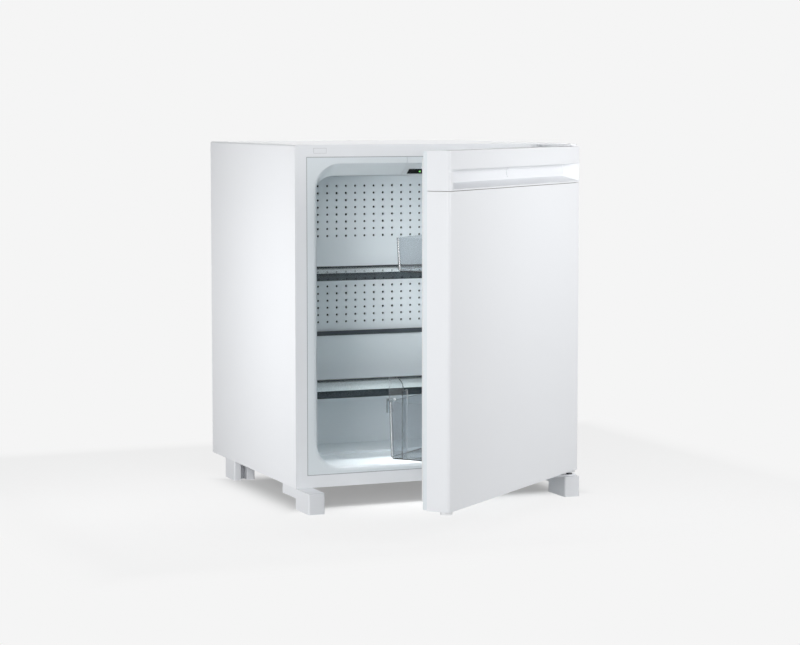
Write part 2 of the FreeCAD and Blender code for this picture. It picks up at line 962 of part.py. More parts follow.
# Two glass shelves, each with a smoked front profile and a rear strip
shelf_half = opening_half - d.shelf_side_gap
shelf_front = front + d.shelf_setback
glass_front = shelf_front + d.trim_lip
glass_back = front + d.shelf_back
trim_back = shelf_front + d.trim_depth
for level, glass_top in shelf_tops.items():
    glass_low = glass_top - d.glass_thickness
    trim_top = glass_top + d.trim_over
    trim_low = trim_top - d.trim_height
    glass = Piece(f"{level}_shelf_glass")
    glass.pad(
        "XY",
        rectangle(-shelf_half, shelf_half, glass_front, glass_back, d.trim_lip),
        glass_low,
        d.glass_thickness,
    )
    trim = Piece(f"{level}_shelf_trim")
    trim.pad(
        "YZ",
        [
            (shelf_front, trim_low, d.trim_over),
            (trim_back, trim_low, d.trim_over),
            (trim_back, glass_low),
            (glass_front, glass_low),
            (glass_front, trim_top),
            (shelf_front, trim_top, d.trim_over),
        ],
        -shelf_half,
        2 * shelf_half,
    )
    strip_wall = d.rear_trim_wall
    strip = Piece(f"{level}_shelf_rear_strip")
    strip_front = glass_back - d.rear_trim_depth
    strip.pad(
        "YZ",
        [
            (strip_front, glass_top),
            (glass_back, glass_top),
            (glass_back, glass_low),
            (glass_back + strip_wall, glass_low),
            (glass_back + strip_wall, glass_top + strip_wall),
            (strip_front, glass_top + strip_wall),
        ],
        -shelf_half,
        2 * shelf_half,
    )

# Control housing in the middle of the fascia
fascia_drop = d.opening_high - d.ceiling_height
fascia_slope = root(d.fascia_depth * d.fascia_depth + fascia_drop * fascia_drop)
housing = Piece("control_housing")
housing_half = d.housing_half_width
housing_top = frame_top
housing_wall = d.housing_wall
housing.pad(
    "YZ",
    [
        (front, housing_top),
        (front, opening_high),
        (fascia_back, ceiling),
        (housing_back, ceiling),
        (housing_back, housing_top),
    ],
    -housing_half,
    2 * housing_half,
)
housing.pocket(
    "YZ",
    [
        (front + housing_wall, housing_top - housing_wall),
        (front + housing_wall, opening_high + housing_wall),
        (fascia_back + housing_wall / 2, ceiling + housing_wall),
        (housing_back + d.overrun, ceiling + housing_wall),
        (housing_back + d.overrun, housing_top - housing_wall),
    ],
    -housing_half + housing_wall,
    2 * (housing_half - housing_wall),
)


def on_fascia(share):
    """The place on the fascia at a share of its depth."""
    return front + d.fascia_depth * share, opening_high - fascia_drop * share


def window_outline(proud, sunk):
    """The side view of a slab laid along the fascia."""
    high = on_fascia(d.window_high_share)
    low = on_fascia(d.window_low_share)
    return [
        (high[0], high[1] - proud),
        (low[0], low[1] - proud),
        (low[0], low[1] + sunk),
        (high[0], high[1] + sunk),
    ]


window_sunk = d.window_thickness - d.window_proud
window_span = (-d.window_left, d.window_left + d.window_right)
housing.pocket("YZ", window_outline(d.overrun, window_sunk), *window_span)
window = Piece("control_window")
window.pad("YZ", window_outline(d.window_proud, window_sunk), *window_span)

# Signal lamp and push button, which stand square to the fascia
outward_y = -(fascia_drop / fascia_slope)
outward_z = -(d.fascia_depth / fascia_slope)
controls_y, controls_z = on_fascia(d.control_share)


def control_plane(x):
    """A plane on the fascia whose normal points out of it, into the cabinet."""
    return Tilted(x, controls_y, controls_z, outward_y, outward_z)


led_plane = control_plane(-d.led_offset)
led_base = d.led_proud - d.led_length
led = Piece("status_led")
led.pad(led_plane, Circle(nothing, nothing, d.led_radius), led_base, d.led_length)
for carrier in (housing, window):
    carrier.pocket(
        led_plane,
        Circle(nothing, nothing, d.led_radius + d.running_gap),
        *spanning(led_base, d.overrun),
    )

button_plane = control_plane(d.button_offset)
button_base = -d.button_depth
button = Piece("power_button")
button.pad(
    button_plane,
    Circle(nothing, nothing, d.button_radius),
    *spanning(button_base, d.button_proud),
)
button.pad(
    button_plane,
    Circle(nothing, nothing, d.button_flange_radius),
    *spanning(button_base - d.button_flange, button_base),
)
housing.pocket(
    button_plane,
    Circle(nothing, nothing, d.button_radius + d.fit_gap),
    *spanning(button_base, d.overrun),
)

# Interior lamp in the underside of the housing, and the control board above it
lamp_start = front + d.lamp_start
lamp_outline = rectangle(
    -d.lamp_half_width, d.lamp_half_width, lamp_start, lamp_start + d.lamp_length
)
housing.pocket("XY", lamp_outline, *spanning(ceiling - d.overrun, ceiling + housing_wall + d.fit_gap))
lamp = Piece("interior_lamp")
lamp.pad("XY", lamp_outline, *spanning(ceiling - d.lamp_proud, ceiling + housing_wall))
board_half = housing_half - housing_wall
board = Piece("control_board")
board.pad(
    "XY",
    rectangle(-board_half, board_half, front + d.board_start, housing_back),
    ceiling + d.board_rise,
    d.board_thickness,
)

# Feet: two blocks ahead of the front corners, two forked feet under the back
screw_seat = d.foot_screw_seat
screw_end = screw_seat + d.foot_screw_length
head_clear = d.screw_head_radius + d.fit_gap
screw_clear = d.screw_radius + d.running_gap
front_screw_y = front + d.front_screw_back
rear_screw_y = front + d.rear_screw_back
rear_foot_back = front + d.rear_foot_start + d.rear_foot_length
inner_leg_start = d.rear_leg + d.rear_foot_gap
rear_screw_inset = (d.rear_foot_width + inner_leg_start) / 2
foot_screws = Piece("foot_screws", scattered=True)


def add_fixings(foot, fixing_x, fixing_y, screw_x, screw_y):
    """Cut the fixing hole and the screw hole of a foot, and add its screw."""
    foot.pocket(
        "XY",
        Circle(fixing_x, fixing_y, d.fixing_radius),
        *spanning(-d.overrun, d.fixing_depth),
    )
    foot.pocket("XY", Circle(screw_x, screw_y, head_clear), *spanning(-d.overrun, screw_seat))
    foot.pocket(
        "XY",
        Circle(screw_x, screw_y, screw_clear),
        *spanning(-d.overrun, base + d.overrun),
    )
    foot_screws.pad(
        "XY",
        Circle(screw_x, screw_y, d.screw_head_radius),
        screw_seat - d.screw_head_height,
        d.screw_head_height,
    )
    foot_screws.pad(
        "XY", Circle(screw_x, screw_y, d.screw_radius), screw_seat, d.foot_screw_length
    )


for side, name in ((-1, "left"), (1, "right")):
    span = on_side(side, d.foot_width, nothing)
    foot = Piece(f"front_{name}_foot")
    block_back = front + d.foot_block_back
    foot.pad(
        "XY",
        rectangle(*span, front - d.foot_ahead, block_back, d.foot_round),
        nothing,
        base,
    )
    foot.pad(
        "XY",
        rectangle(*span, front - d.foot_round, front + d.foot_flange_back, d.foot_round),
        base - d.flange_thickness,
        d.flange_thickness,
    )
    screw_x = side * (half - d.foot_width / 2)
    fixing_x = side * (half - d.fixing_inset)
    add_fixings(foot, fixing_x, front - d.front_fixing_ahead, screw_x, front_screw_y)
    pan.pocket("XY", Circle(screw_x, front_screw_y, screw_clear), base - d.overrun, 2 * d.overrun)
    foam.pocket(
        "XY", Circle(screw_x, front_screw_y, screw_clear), *spanning(base, screw_end + d.fit_gap)
    )

    foot = Piece(f"rear_{name}_foot")
    foot_start = front + d.rear_foot_start
    foot.pad(
        "XY",
        rectangle(
            *on_side(side, d.rear_foot_width, nothing), foot_start, rear_foot_back, d.foot_corner
        ),
        nothing,
        base,
    )
    foot.pocket(
        "XY",
        rectangle(
            *on_side(side, inner_leg_start, d.rear_leg),
            foot_start - d.overrun,
            rear_foot_back - d.rear_foot_wall,
        ),
        *spanning(-d.overrun, base - d.rear_foot_roof),
    )
    fixing_y = front + d.rear_fixing_back
    foot.pad(
        "XY",
        Circle(fixing_x, fixing_y, d.fixing_boss),
        *spanning(nothing, base - d.rear_foot_roof / 2),
    )
    screw_x = side * (half - rear_screw_inset)
    add_fixings(foot, fixing_x, fixing_y, screw_x, rear_screw_y)
    rail.pocket("XY", Circle(screw_x, rear_screw_y, screw_clear), base - d.overrun, 2 * d.overrun)

# Hinges on the right side, seen from the front
hinge_x = half - d.hinge_inset
hinge_y = front - d.hinge_ahead
door_low = base + d.door_low
door_high = base + d.door_high
arm_low, arm_high = arm_span(1)
arm_top = door_high + d.hinge_top_gap + d.hinge_plate
web_back = front - d.web_setoff
web_front = web_back - d.hinge_plate
eye = d.hinge_eye
pin_clear = d.pin_radius + d.running_gap

anchors = Piece("hinge_anchors", scattered=True)
anchor_y = front + d.tab_depth / 2
anchor_front = front + d.cover_depth + d.fit_gap
for side in (-1, 1):
    anchors.pad(
        "XY",
        rectangle(*arm_span(side), anchor_front, front + d.tab_depth),
        tab_low - d.anchor_height,
        d.anchor_height,
    )
arm_middle = (arm_low + arm_high) / 2
anchors.pocket(
    "XY",
    Circle(arm_middle, anchor_y, screw_clear),
    *spanning(tab_low - d.anchor_height - d.overrun, tab_low + d.overrun),
)

cover = Piece("hinge_slot_cover")
cover.pad(
    "XZ",
    rectangle(*arm_span(-1), slot_low, slot_high),
    *spanning(front - d.cover_proud, front + d.cover_depth),
)

upper_hinge = Piece("upper_hinge")
upper_hinge.pad(
    "XY",
    rectangle(arm_low, arm_high, web_front, front + d.tab_depth),
    tab_low,
    d.hinge_plate,
)
upper_hinge.pad(
    "XY", rectangle(arm_low, arm_high, web_front, web_back), *spanning(tab_low, arm_top)
)
upper_hinge.pad(
    "XY",
    [
        (arm_low, web_back),
        (arm_low, web_back - d.arm_reach),
        (hinge_x - eye, hinge_y - eye, eye),
        (hinge_x + eye, hinge_y - eye, eye),
        (hinge_x + eye, hinge_y + eye, eye),
        (arm_high, web_back),
    ],
    arm_top - d.hinge_plate,
    d.hinge_plate,
)
upper_hinge.pocket(
    "XY", Circle(arm_middle, anchor_y, screw_clear), *spanning(tab_low - d.overrun, slot_high)
)
upper_hinge.pad(
    "XY", Circle(hinge_x, hinge_y, d.pin_radius), *spanning(door_high - d.pin_depth, arm_top)
)
upper_hinge.pad("XY", Circle(hinge_x, hinge_y, d.pin_head_radius), arm_top, d.pin_head)

bracket_low, bracket_high = on_side(1, d.bracket_edge + d.bracket_width, d.bracket_edge)
bracket_front = front - d.bracket_ahead
bracket_top = base + d.hinge_plate
bracket = Piece("lower_hinge_bracket")
bracket.pad(
    "XY",
    [
        (bracket_low, bracket_front, d.bracket_round),
        (bracket_high, bracket_front, d.bracket_round),
        (bracket_high, front),
        (bracket_low, front),
    ],
    base,
    d.hinge_plate,
)
bracket.pad(
    "XZ",
    rectangle(bracket_low, bracket_high, base, base + d.bracket_tab),
    *spanning(front - d.hinge_plate, front),
)
bracket.pocket("XY", Circle(hinge_x, hinge_y, pin_clear), base - d.overrun, 2 * d.overrun)
lower_pin = Piece("lower_hinge_pin")
lower_pin.pad(
    "XY", Circle(hinge_x, hinge_y, d.pin_radius), *spanning(base, door_low + d.pin_depth)
)
flange_low = door_low - d.bush_flange
lower_pin.pad(
    "XY",
    Circle(hinge_x, hinge_y, d.shoulder_radius),
    *spanning(bracket_top, flange_low - d.fit_gap),
)

hinge_screws = Piece("hinge_screws", scattered=True)
screw_z = base + d.bracket_screw_rise
screw_face = front - d.hinge_plate
screw_tip = screw_face + d.hinge_screw_length
for inset, sheet_part in ((d.bracket_screw_inner, pan), (d.bracket_screw_outer, casing)):
    spot = (half - inset, screw_z)
    hinge_screws.pad(
        "XZ",
        Circle(*spot, d.screw_head_radius),
        screw_face - d.screw_head_height,
        d.screw_head_height,
    )
    hinge_screws.pad("XZ", Circle(*spot, d.screw_radius), screw_face, d.hinge_screw_length)
    for carrier in (bracket, sheet_part, foam):
        carrier.pocket(
            "XZ",
            Circle(*spot, screw_clear),
            *spanning(screw_face - d.overrun, screw_tip + d.fit_gap),
        )
tab_top = tab_low + d.hinge_plate
hinge_screws.pad(
    "XY", Circle(arm_middle, anchor_y, d.screw_head_radius), tab_top, d.screw_head_height
)
hinge_screws.pad(
    "XY",
    Circle(arm_middle, anchor_y, d.screw_radius),
    *spanning(tab_top - d.hinge_screw_length, tab_top),
)

# Door, drawn closed and then turned about the hinge axis
DOOR_SWING = (
    "placement(vector(0; 0; 0); rotation(vector(0; 0; 1); dims.door_angle); "
    f"vector({hinge_x.text}; {hinge_y.text}; 0))"
)
door_front = front - d.door_gap - d.door_thickness
skin_back = door_front + d.skin_depth
door_back = front - d.door_gap
skin_low = door_low + d.cap_height
seam = base + d.seam_height
door_bend = d.door_bend


def door_outline(left, right, inset, depth):
    """The door's plan, rounded at the two front corners."""
    bend = door_bend - inset
    return [
        (left + inset, door_front + inset, bend),
        (right - inset, door_front + inset, bend),
        (right - inset, door_front + depth),
        (left + inset, door_front + depth),
    ]


skin = Piece("door_skin", DOOR_SWING)
skin.pad("XY", door_outline(-half, half, nothing, d.skin_depth), *spanning(skin_low, seam))
skin.pocket(
    "XY",
    door_outline(-half, half, d.sheet, d.skin_depth + d.overrun),
    *spanning(skin_low - d.overrun, seam + d.overrun),
)

# End cap under the door with a boss for each of the two hinge places
cap = Piece("door_end_cap", DOOR_SWING)
cap.pad("XY", door_outline(-half, half, nothing, d.skin_depth), door_low, d.cap_height)
filling = Piece("door_insulation", DOOR_SWING)
filling.pad("XY", door_outline(-half, half, d.sheet, d.skin_depth), *spanning(skin_low, seam))
boss_top = door_low + d.cap_boss_height
bush_clear = d.bush_radius + d.running_gap
for side in (-1, 1):
    spot = (side * hinge_x, hinge_y)
    cap.pad("XY", Circle(*spot, d.cap_boss_radius), door_low, d.cap_boss_height)
    cap.pocket("XY", Circle(*spot, bush_clear), *spanning(door_low - d.overrun, boss_top + d.overrun))
    filling.pocket(
        "XY",
        Circle(*spot, d.cap_boss_radius + d.running_gap),
        *spanning(door_low, boss_top),
    )
lower_bush = Piece("hinge_bush_lower", DOOR_SWING)
spare_plug = Piece("spare_hinge_plug", DOOR_SWING)
for plug, side in ((lower_bush, 1), (spare_plug, -1)):
    spot = (side * hinge_x, hinge_y)
    plug.pad("XY", Circle(*spot, d.bush_radius), door_low, d.bush_length)
    plug.pad("XY", Circle(*spot, d.bush_flange_radius), flange_low, d.bush_flange)
lower_bush.pocket(
    "XY",
    Circle(hinge_x, hinge_y, pin_clear),
    *spanning(flange_low - d.overrun, door_low + d.bush_length + d.overrun),
)

# Handle strip along the top, its recess slanting out towards the hinge side
strip_low = seam + d.strip_seam
recess_left = -half + d.recess_end
recess_back = door_front + d.recess_depth
recess_top = base + d.recess_top
strip_left = recess_left + d.running_gap
strip = Piece("handle_strip", DOOR_SWING)
strip.pad(
    "XY",
    [
        (strip_left, door_front),
        (half, door_front, door_bend),
        (half, skin_back),
        (strip_left, skin_back),
    ],
    *spanning(strip_low, door_high),
)
strip.loft(
    "XZ",
    (
        door_front,
        rectangle(
            recess_left - d.overrun, half - d.recess_slant_front, base + d.recess_lip, recess_top
        ),
    ),
    (
        recess_back,
        rectangle(
            recess_left - d.overrun, half - d.recess_slant_back, base + d.recess_ledge, recess_top
        ),
    ),
    cut=True,
)
block_half = half - d.strip_block
hollow_front = recess_back + d.strip_wall
hollow_outline = [
    (hollow_front, strip_low),
    (skin_back, strip_low),
    (skin_back, door_high - d.strip_wall),
    (door_front + d.strip_wall, door_high - d.strip_wall),
    (door_front + d.strip_wall, recess_top + d.strip_wall),
    (hollow_front, recess_top + d.strip_wall),
]
strip.pocket("YZ", hollow_outline, -block_half, 2 * block_half)
filling.pad(
    "XY",
    rectangle(-block_half, block_half, hollow_front, skin_back),
    *spanning(seam - d.overrun, strip_low + d.overrun),
)
filling.pad("YZ", hollow_outline, -block_half, 2 * block_half)
strip.pocket(
    "XY",
    Circle(hinge_x, hinge_y, bush_clear),
    *spanning(door_high - d.bush_length, door_high + d.overrun),
)
upper_bush = Piece("hinge_bush_upper", DOOR_SWING)
upper_bush.pad(
    "XY",
    Circle(hinge_x, hinge_y, d.bush_radius, pin_clear),
    door_high - d.bush_length,
    d.bush_length,
)
strip_end = Piece("handle_strip_end", DOOR_SWING)
strip_end.pad(
    "XY",
    [
        (-half, door_front, door_bend),
        (recess_left, door_front),
        (recess_left, skin_back),
        (-half, skin_back),
    ],
    *spanning(strip_low, door_high),
)

# Round blanking plug in the middle of the recess
lock_spot = (nothing, base + d.plug_height)
strip.pocket(
    "XZ",
    Circle(*lock_spot, d.plug_radius + d.running_gap),
    *spanning(recess_back - d.overrun, hollow_front + d.running_gap),
)
lock_plug = Piece("lock_plug", DOOR_SWING)
lock_plug.pad(
    "XZ",
    Circle(*lock_spot, d.plug_radius),
    *spanning(recess_back - d.plug_proud, hollow_front),
)

# Inner door panel, a shallow tray with upturned lugs that the bins hang on
liner_edge = d.door_liner_inset
tray_edge = liner_edge + d.door_liner_wall
tray_floor = door_back - d.door_liner_wall


def door_frame_outline(inset, inset_ends):
    """A rectangle in the plane of the door, with one inset at the sides and one at the ends."""
    return rectangle(-half + inset, half - inset, door_low + inset_ends, door_high - inset_ends)


door_liner = Piece("door_liner", DOOR_SWING)
door_liner.pad("XZ", door_frame_outline(liner_edge, liner_edge), *spanning(skin_back, door_back))
door_liner.round_edges(
    d.door_liner_round,
    lambda middle, edge: near(middle.y, door_back) and edge.Length > float(d.running_gap),
)
door_liner.pocket(
    "XZ",
    door_frame_outline(tray_edge, tray_edge),
    *spanning(skin_back - d.overrun, tray_floor),
)
filling.pad("XZ", door_frame_outline(tray_edge, tray_edge), *spanning(skin_back, tray_floor))

bins = {
    "upper": (d.upper_bin_low, d.upper_bin_high, d.upper_bin_reach_low, d.upper_bin_reach_high),
    "lower": (d.lower_bin_low, d.lower_bin_high, d.lower_bin_reach_low, d.lower_bin_reach_high),
}
lug_back = door_back + d.lug_thickness
for low, high, reach_low, reach_high in bins.values():
    seat = base + high - d.slot_drop - d.fit_gap
    for side in (-1, 1):
        door_liner.pad(
            "YZ",
            [
                (tray_floor, seat - d.lug_arm),
                (lug_back, seat - d.lug_arm),
                (lug_back, seat + d.lug_rise),
                (lug_back - d.lug_lip, seat + d.lug_rise),
                (lug_back - d.lug_lip, seat),
                (tray_floor, seat),
            ],
            side * d.lug_offset - d.lug_half_width,
            2 * d.lug_half_width,
        )

# Magnetic gasket in two steps
gasket = Piece("door_gasket", DOOR_SWING)
gasket_inner = d.gasket_inset + d.gasket_width
gasket_inner_ends = d.gasket_inset_ends + d.gasket_width
foot_back = door_back + d.gasket_foot
step_in = d.gasket_lip_inset
gasket.pad("XZ", door_frame_outline(d.gasket_inset, d.gasket_inset_ends), door_back, d.gasket_foot)
gasket.pad(
    "XZ",
    door_frame_outline(d.gasket_inset + step_in, d.gasket_inset_ends + step_in),
    foot_back,
    d.gasket_lip,
)
gasket.pocket(
    "XZ",
    door_frame_outline(gasket_inner, gasket_inner_ends),
    *spanning(door_back - d.overrun, foot_back + d.overrun),
)
gasket.pocket(
    "XZ",
    door_frame_outline(gasket_inner - step_in, gasket_inner_ends - step_in),
    foot_back,
    d.gasket_lip + d.overrun,
)

# Clear bins that hang on the inner door panel
bin_half = half - d.bin_end
bin_back = door_back + d.bin_setoff
bin_wall = d.bin_wall


def bin_outline(reach, narrow, wall_inset):
    """The plan of a bin at one height, rounded at the two corners away from the door."""
    edge = bin_half - narrow - wall_inset
    far = door_front + reach - wall_inset
    near_side = bin_back + wall_inset
    corner = d.bin_round - wall_inset
    return [
        (-edge, near_side),
        (edge, near_side),
        (edge, far, corner),
        (-edge, far, corner),
    ]


for level, (low, high, reach_low, reach_high) in bins.items():
    shell = Piece(f"{level}_bin", DOOR_SWING)
    bottom = base + low
    rim = base + high
    bevel_top = bottom + d.bin_bevel
    shell.loft(
        "XY",
        (bottom, bin_outline(reach_low, d.bin_draft, d.bin_bevel)),
        (bevel_top, bin_outline(reach_low, d.bin_draft, nothing)),
    )
    shell.loft(
        "XY",
        (bevel_top, bin_outline(reach_low, d.bin_draft, nothing)),
        (rim, bin_outline(reach_high, nothing, nothing)),
    )
    shell.loft(
        "XY",
        (bottom + bin_wall, bin_outline(reach_low, d.bin_draft, bin_wall)),
        (rim, bin_outline(reach_high, nothing, bin_wall)),
        cut=True,
    )
    slot_top = rim - d.slot_drop
    for side in (-1, 1):
        middle = side * d.lug_offset
        shell.pocket(
            "XZ",
            rectangle(
                middle - d.slot_half_width,
                middle + d.slot_half_width,
                slot_top - d.slot_height,
                slot_top,
            ),
            *spanning(bin_back - d.overrun, bin_back + bin_wall + d.overrun),
        )

# Clear bottle stop that clips over the front wall of the lower bin and slides along it
lower_rim = base + d.lower_bin_high
stop_left = -bin_half + bin_wall + d.stop_gap
stop_right = stop_left + d.stop_thickness
stop_low = base + d.lower_bin_low + bin_wall + d.stop_foot_gap
stop_top = base + d.stop_top
stop_back = door_front + d.stop_back
nose_low = door_front + d.lower_bin_reach_low - d.stop_nose_low
nose_high = door_front + d.lower_bin_reach_high - d.stop_nose_high
clip_low = lower_rim + d.stop_foot_gap
clip_high = clip_low + d.stop_bridge
clip_inner = door_front + d.lower_bin_reach_high + d.stop_foot_gap
clip_outer = clip_inner + d.stop_clip
bottle_stop = Piece("bottle_stop", DOOR_SWING)
bottle_stop.pad(
    "YZ",
    [
        (stop_back, stop_low),
        (nose_low, stop_low, d.stop_corner),
        (nose_high, clip_low),
        (clip_inner, clip_low),
        (clip_inner, lower_rim - d.stop_clip_drop),
        (clip_outer, lower_rim - d.stop_clip_drop),
        (clip_outer, clip_high, d.stop_corner),
        (door_front + d.stop_neck, clip_high),
        (door_front + d.stop_neck, stop_top, d.stop_corner),
        (stop_back, stop_top, d.stop_round),
    ],
    stop_left,
    d.stop_thickness,
)
bottle_stop.pad(
    "XY",
    rectangle(
        stop_left, stop_right + d.stop_flange, stop_back, stop_back + d.stop_thickness
    ),
    *spanning(stop_low, base + d.stop_flange_top),
)
bottle_stop.pad(
    "YZ",
    rectangle(nose_high, clip_outer, clip_low, clip_high),
    stop_left,
    d.stop_thickness + d.stop_flange,
)
bottle_stop.pad(
    "YZ",
    rectangle(clip_inner, clip_outer, lower_rim - d.stop_clip_drop, clip_high),
    stop_left,
    d.stop_thickness + d.stop_flange,
)

# Cooling unit on the back, held by two straps
strap_back = unit_front + d.strap_thickness
straps = Piece("unit_straps", scattered=True)
for x in (-d.strap_left, d.strap_right):
    straps.pad(
        "XZ",
        rectangle(
            x - d.strap_width / 2, x + d.strap_width / 2, base + d.strap_low, base + d.strap_high
        ),
        unit_front,
        d.strap_thickness,
    )

unit_y = strap_back + d.condenser_fin_half
coil_y = strap_back + d.coil_radius + d.running_gap
coil_low = base + d.coil_low
vessel_z = base + d.vessel_height
bend = d.coil_bend
coil_corners = [(d.coil_right, coil_top)]
for run in range(int(float(d.coil_runs)) - 1):
    turn_x = -d.coil_left if run % 2 == 0 else d.coil_right
    upper_z = coil_top - d.coil_pitch * run
    coil_corners.append((turn_x, upper_z, bend))
    coil_corners.append((turn_x, upper_z - d.coil_pitch, bend))
coil_corners.append((d.coil_right - bend, coil_low, bend))
coil_corners.append((d.coil_right - bend, vessel_z + d.vessel_radius))
coil = Piece("absorber_coil")
coil.pipe(
    "XZ",
    coil_y,
    coil_corners,
    "YZ",
    d.coil_right,
    Circle(coil_y, coil_top, d.coil_radius, d.coil_radius - d.coil_wall),
)

vessel_y = strap_back + d.vessel_radius + d.running_gap
vessel = Piece("absorber_vessel")
vessel_length = d.vessel_left + d.vessel_right
vessel.pad("YZ", Circle(vessel_y, vessel_z, d.vessel_radius), -d.vessel_left, vessel_length)
vessel.pocket(
    "YZ",
    Circle(vessel_y, vessel_z, d.vessel_radius - d.vessel_wall),
    -d.vessel_left + d.vessel_wall,
    vessel_length - 2 * d.vessel_wall,
)

tray_low = vessel_z + d.vessel_radius
tray_top = tray_low + d.tray_box_height
tray_wall = d.tray_box_wall
tray_left = -d.drain_offset - d.tray_box_width / 2
drip_tray = Piece("drip_tray")
drip_tray.pad(
    "XY",
    rectangle(tray_left, tray_left + d.tray_box_width, strap_back, strap_back + d.tray_box_depth),
    tray_low,
    d.tray_box_height,
)
drip_tray.pocket(
    "XY",
    rectangle(
        tray_left + tray_wall,
        tray_left + d.tray_box_width - tray_wall,
        strap_back + tray_wall,
        strap_back + d.tray_box_depth - tray_wall,
    ),
    *spanning(tray_low + tray_wall, tray_top + d.overrun),
)

boiler_x = d.boiler_left + d.boiler_width / 2
boiler_low = base + d.boiler_low
boiler_top = base + d.boiler_high
boiler_back = unit_front + d.boiler_depth
boiler = Piece("boiler_casing")
boiler.pad(
    "XY",
    rectangle(
        d.boiler_left, d.boiler_left + d.boiler_width, unit_front, boiler_back, d.foot_round
    ),
    *spanning(boiler_low, boiler_top),
)
boiler.pocket(
    "XY",
    rectangle(
        d.boiler_left + d.boiler_wall,
        d.boiler_left + d.boiler_width - d.boiler_wall,
        unit_front + d.boiler_wall,
        boiler_back - d.boiler_wall,
    ),
    *spanning(boiler_low + d.boiler_wall, boiler_top - d.boiler_wall),
)
heater_x = boiler_x + d.heater_offset
heater_low = boiler_low - d.heater_drop
boiler.pocket(
    "XY",
    Circle(heater_x, unit_y, d.heater_radius + d.running_gap),
    *spanning(heater_low, boiler_low + d.boiler_wall + d.overrun),
)
heater = Piece("heater_cartridge")
heater.pad("XY", Circle(heater_x, unit_y, d.heater_radius), heater_low, d.heater_length)
heater.pad(
    "XY",
    Circle(heater_x, unit_y, d.heater_radius + d.heater_collar),
    *spanning(boiler_low - d.heater_collar, boiler_low),
)

condenser_z = base + d.condenser_height
riser = Piece("condenser_pipe")
riser.pipe(
    "XZ",
    unit_y,
    [
        (boiler_x, boiler_top),
        (boiler_x, condenser_z, d.riser_bend),
        (-d.condenser_left, condenser_z),
    ],
    "XY",
    boiler_top,
    Circle(boiler_x, unit_y, d.riser_radius, d.riser_radius - d.coil_wall),
)
fin_half = d.condenser_fin_half
fin_row = d.condenser_fin_pitch * (d.condenser_fin_count - 1)
condenser_fins = Piece("condenser_fins", scattered=True)
condenser_fin = condenser_fins.pad(
    "YZ",
    rectangle(unit_y - fin_half, unit_y + fin_half, condenser_z - fin_half, condenser_z + fin_half),
    -d.condenser_fin_left,
    d.condenser_fin_thickness,
)
condenser_fins.repeat(condenser_fin, "X", fin_row, d.condenser_fin_count)
condenser_fins.pocket(
    "YZ",
    Circle(unit_y, condenser_z, d.riser_radius + d.running_gap),
    -d.condenser_fin_left - d.overrun,
    fin_row + 2 * d.overrun,
)

# Pipes between the unit and the cooling plate
cold_radius = d.cold_pipe_radius
pipes = Piece("evaporator_pipes", scattered=True)
pipes.pipe(
    "YZ",
    warm_pipe[0],
    [
        (cavity_back, warm_pipe[1]),
        (unit_y, warm_pipe[1], d.warm_pipe_bend),
        (unit_y, condenser_z - d.riser_radius - d.running_gap),
    ],
    "XZ",
    cavity_back,
    Circle(*warm_pipe, cold_radius, d.cold_pipe_bore),
)
pipes.pad(
    "XZ",
    Circle(*cold_pipe, cold_radius, d.cold_pipe_bore),
    *spanning(cavity_back, coil_y + d.coil_radius),
)

# Mains connection: a terminal box with a gland, and the lead to the heater
terminal_low = base + d.terminal_low
terminal_back = unit_front + d.terminal_depth
terminal = Piece("terminal_box")
terminal.pad(
    "XY",
    rectangle(
        d.terminal_left,
        d.terminal_left + d.terminal_width,
        unit_front,
        terminal_back,
        d.foot_round,
    ),
    terminal_low,
    d.terminal_height,
)
inlet_x = d.terminal_left + d.terminal_width / 2
inlet_z = terminal_low + d.terminal_height / 2
inlet = Piece("power_inlet")
inlet.pad(
    "XZ", Circle(inlet_x, inlet_z, d.inlet_radius, d.inlet_bore), terminal_back, d.inlet_length
)
lead = Piece("heater_lead")
lead.pipe(
    "XZ",
    unit_y,
    [
        (heater_x, heater_low),
        (heater_x, heater_low - d.lead_sag, d.lead_bend),
        (inlet_x, heater_low - d.lead_sag, d.lead_bend),
        (inlet_x, terminal_low),
    ],
    "XY",
    heater_low,
    Circle(heater_x, unit_y, d.lead_radius),
)

doc.recompute()

# Check every object, then every cut, then write one file for each sub-part
for item in doc.Objects:
    if "Invalid" in item.State or "Error" in item.State:
        raise RuntimeError(f"{item.Label} did not build: {item.State}")
    shape = getattr(item, "Shape", None)
    if shape is not None and item.TypeId != "Sketcher::SketchObject":
        if shape.isNull() and item.TypeId.startswith("PartDesign::"):
            raise RuntimeError(f"{item.Label} has no shape")
        if not shape.isNull() and not shape.isValid():
            raise RuntimeError(f"{item.Label} has a faulty shape")
for piece in Piece.pieces:
    for cut in piece.cuts:
        before = cut.BaseFeature.Shape.Volume
        if cut.Shape.Volume >= before:
            raise RuntimeError(f"{piece.body.Label}: {cut.Name} removes nothing")

os.makedirs("parts", exist_ok=True)
parts = [piece.body for piece in Piece.pieces] + [panel]
for part in parts:
    part.Shape.exportStep(f"parts/{part.Label}.step")
print(f"{len(parts)} parts written")
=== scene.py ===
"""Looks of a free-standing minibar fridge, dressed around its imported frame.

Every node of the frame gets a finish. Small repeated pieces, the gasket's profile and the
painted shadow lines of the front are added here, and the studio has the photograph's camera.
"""

import logging
import math
from contextlib import contextmanager
from dataclasses import dataclass, field
from enum import Enum
from typing import Callable, Iterator, Sequence

import bmesh
import bpy
from mathutils import Matrix, Vector


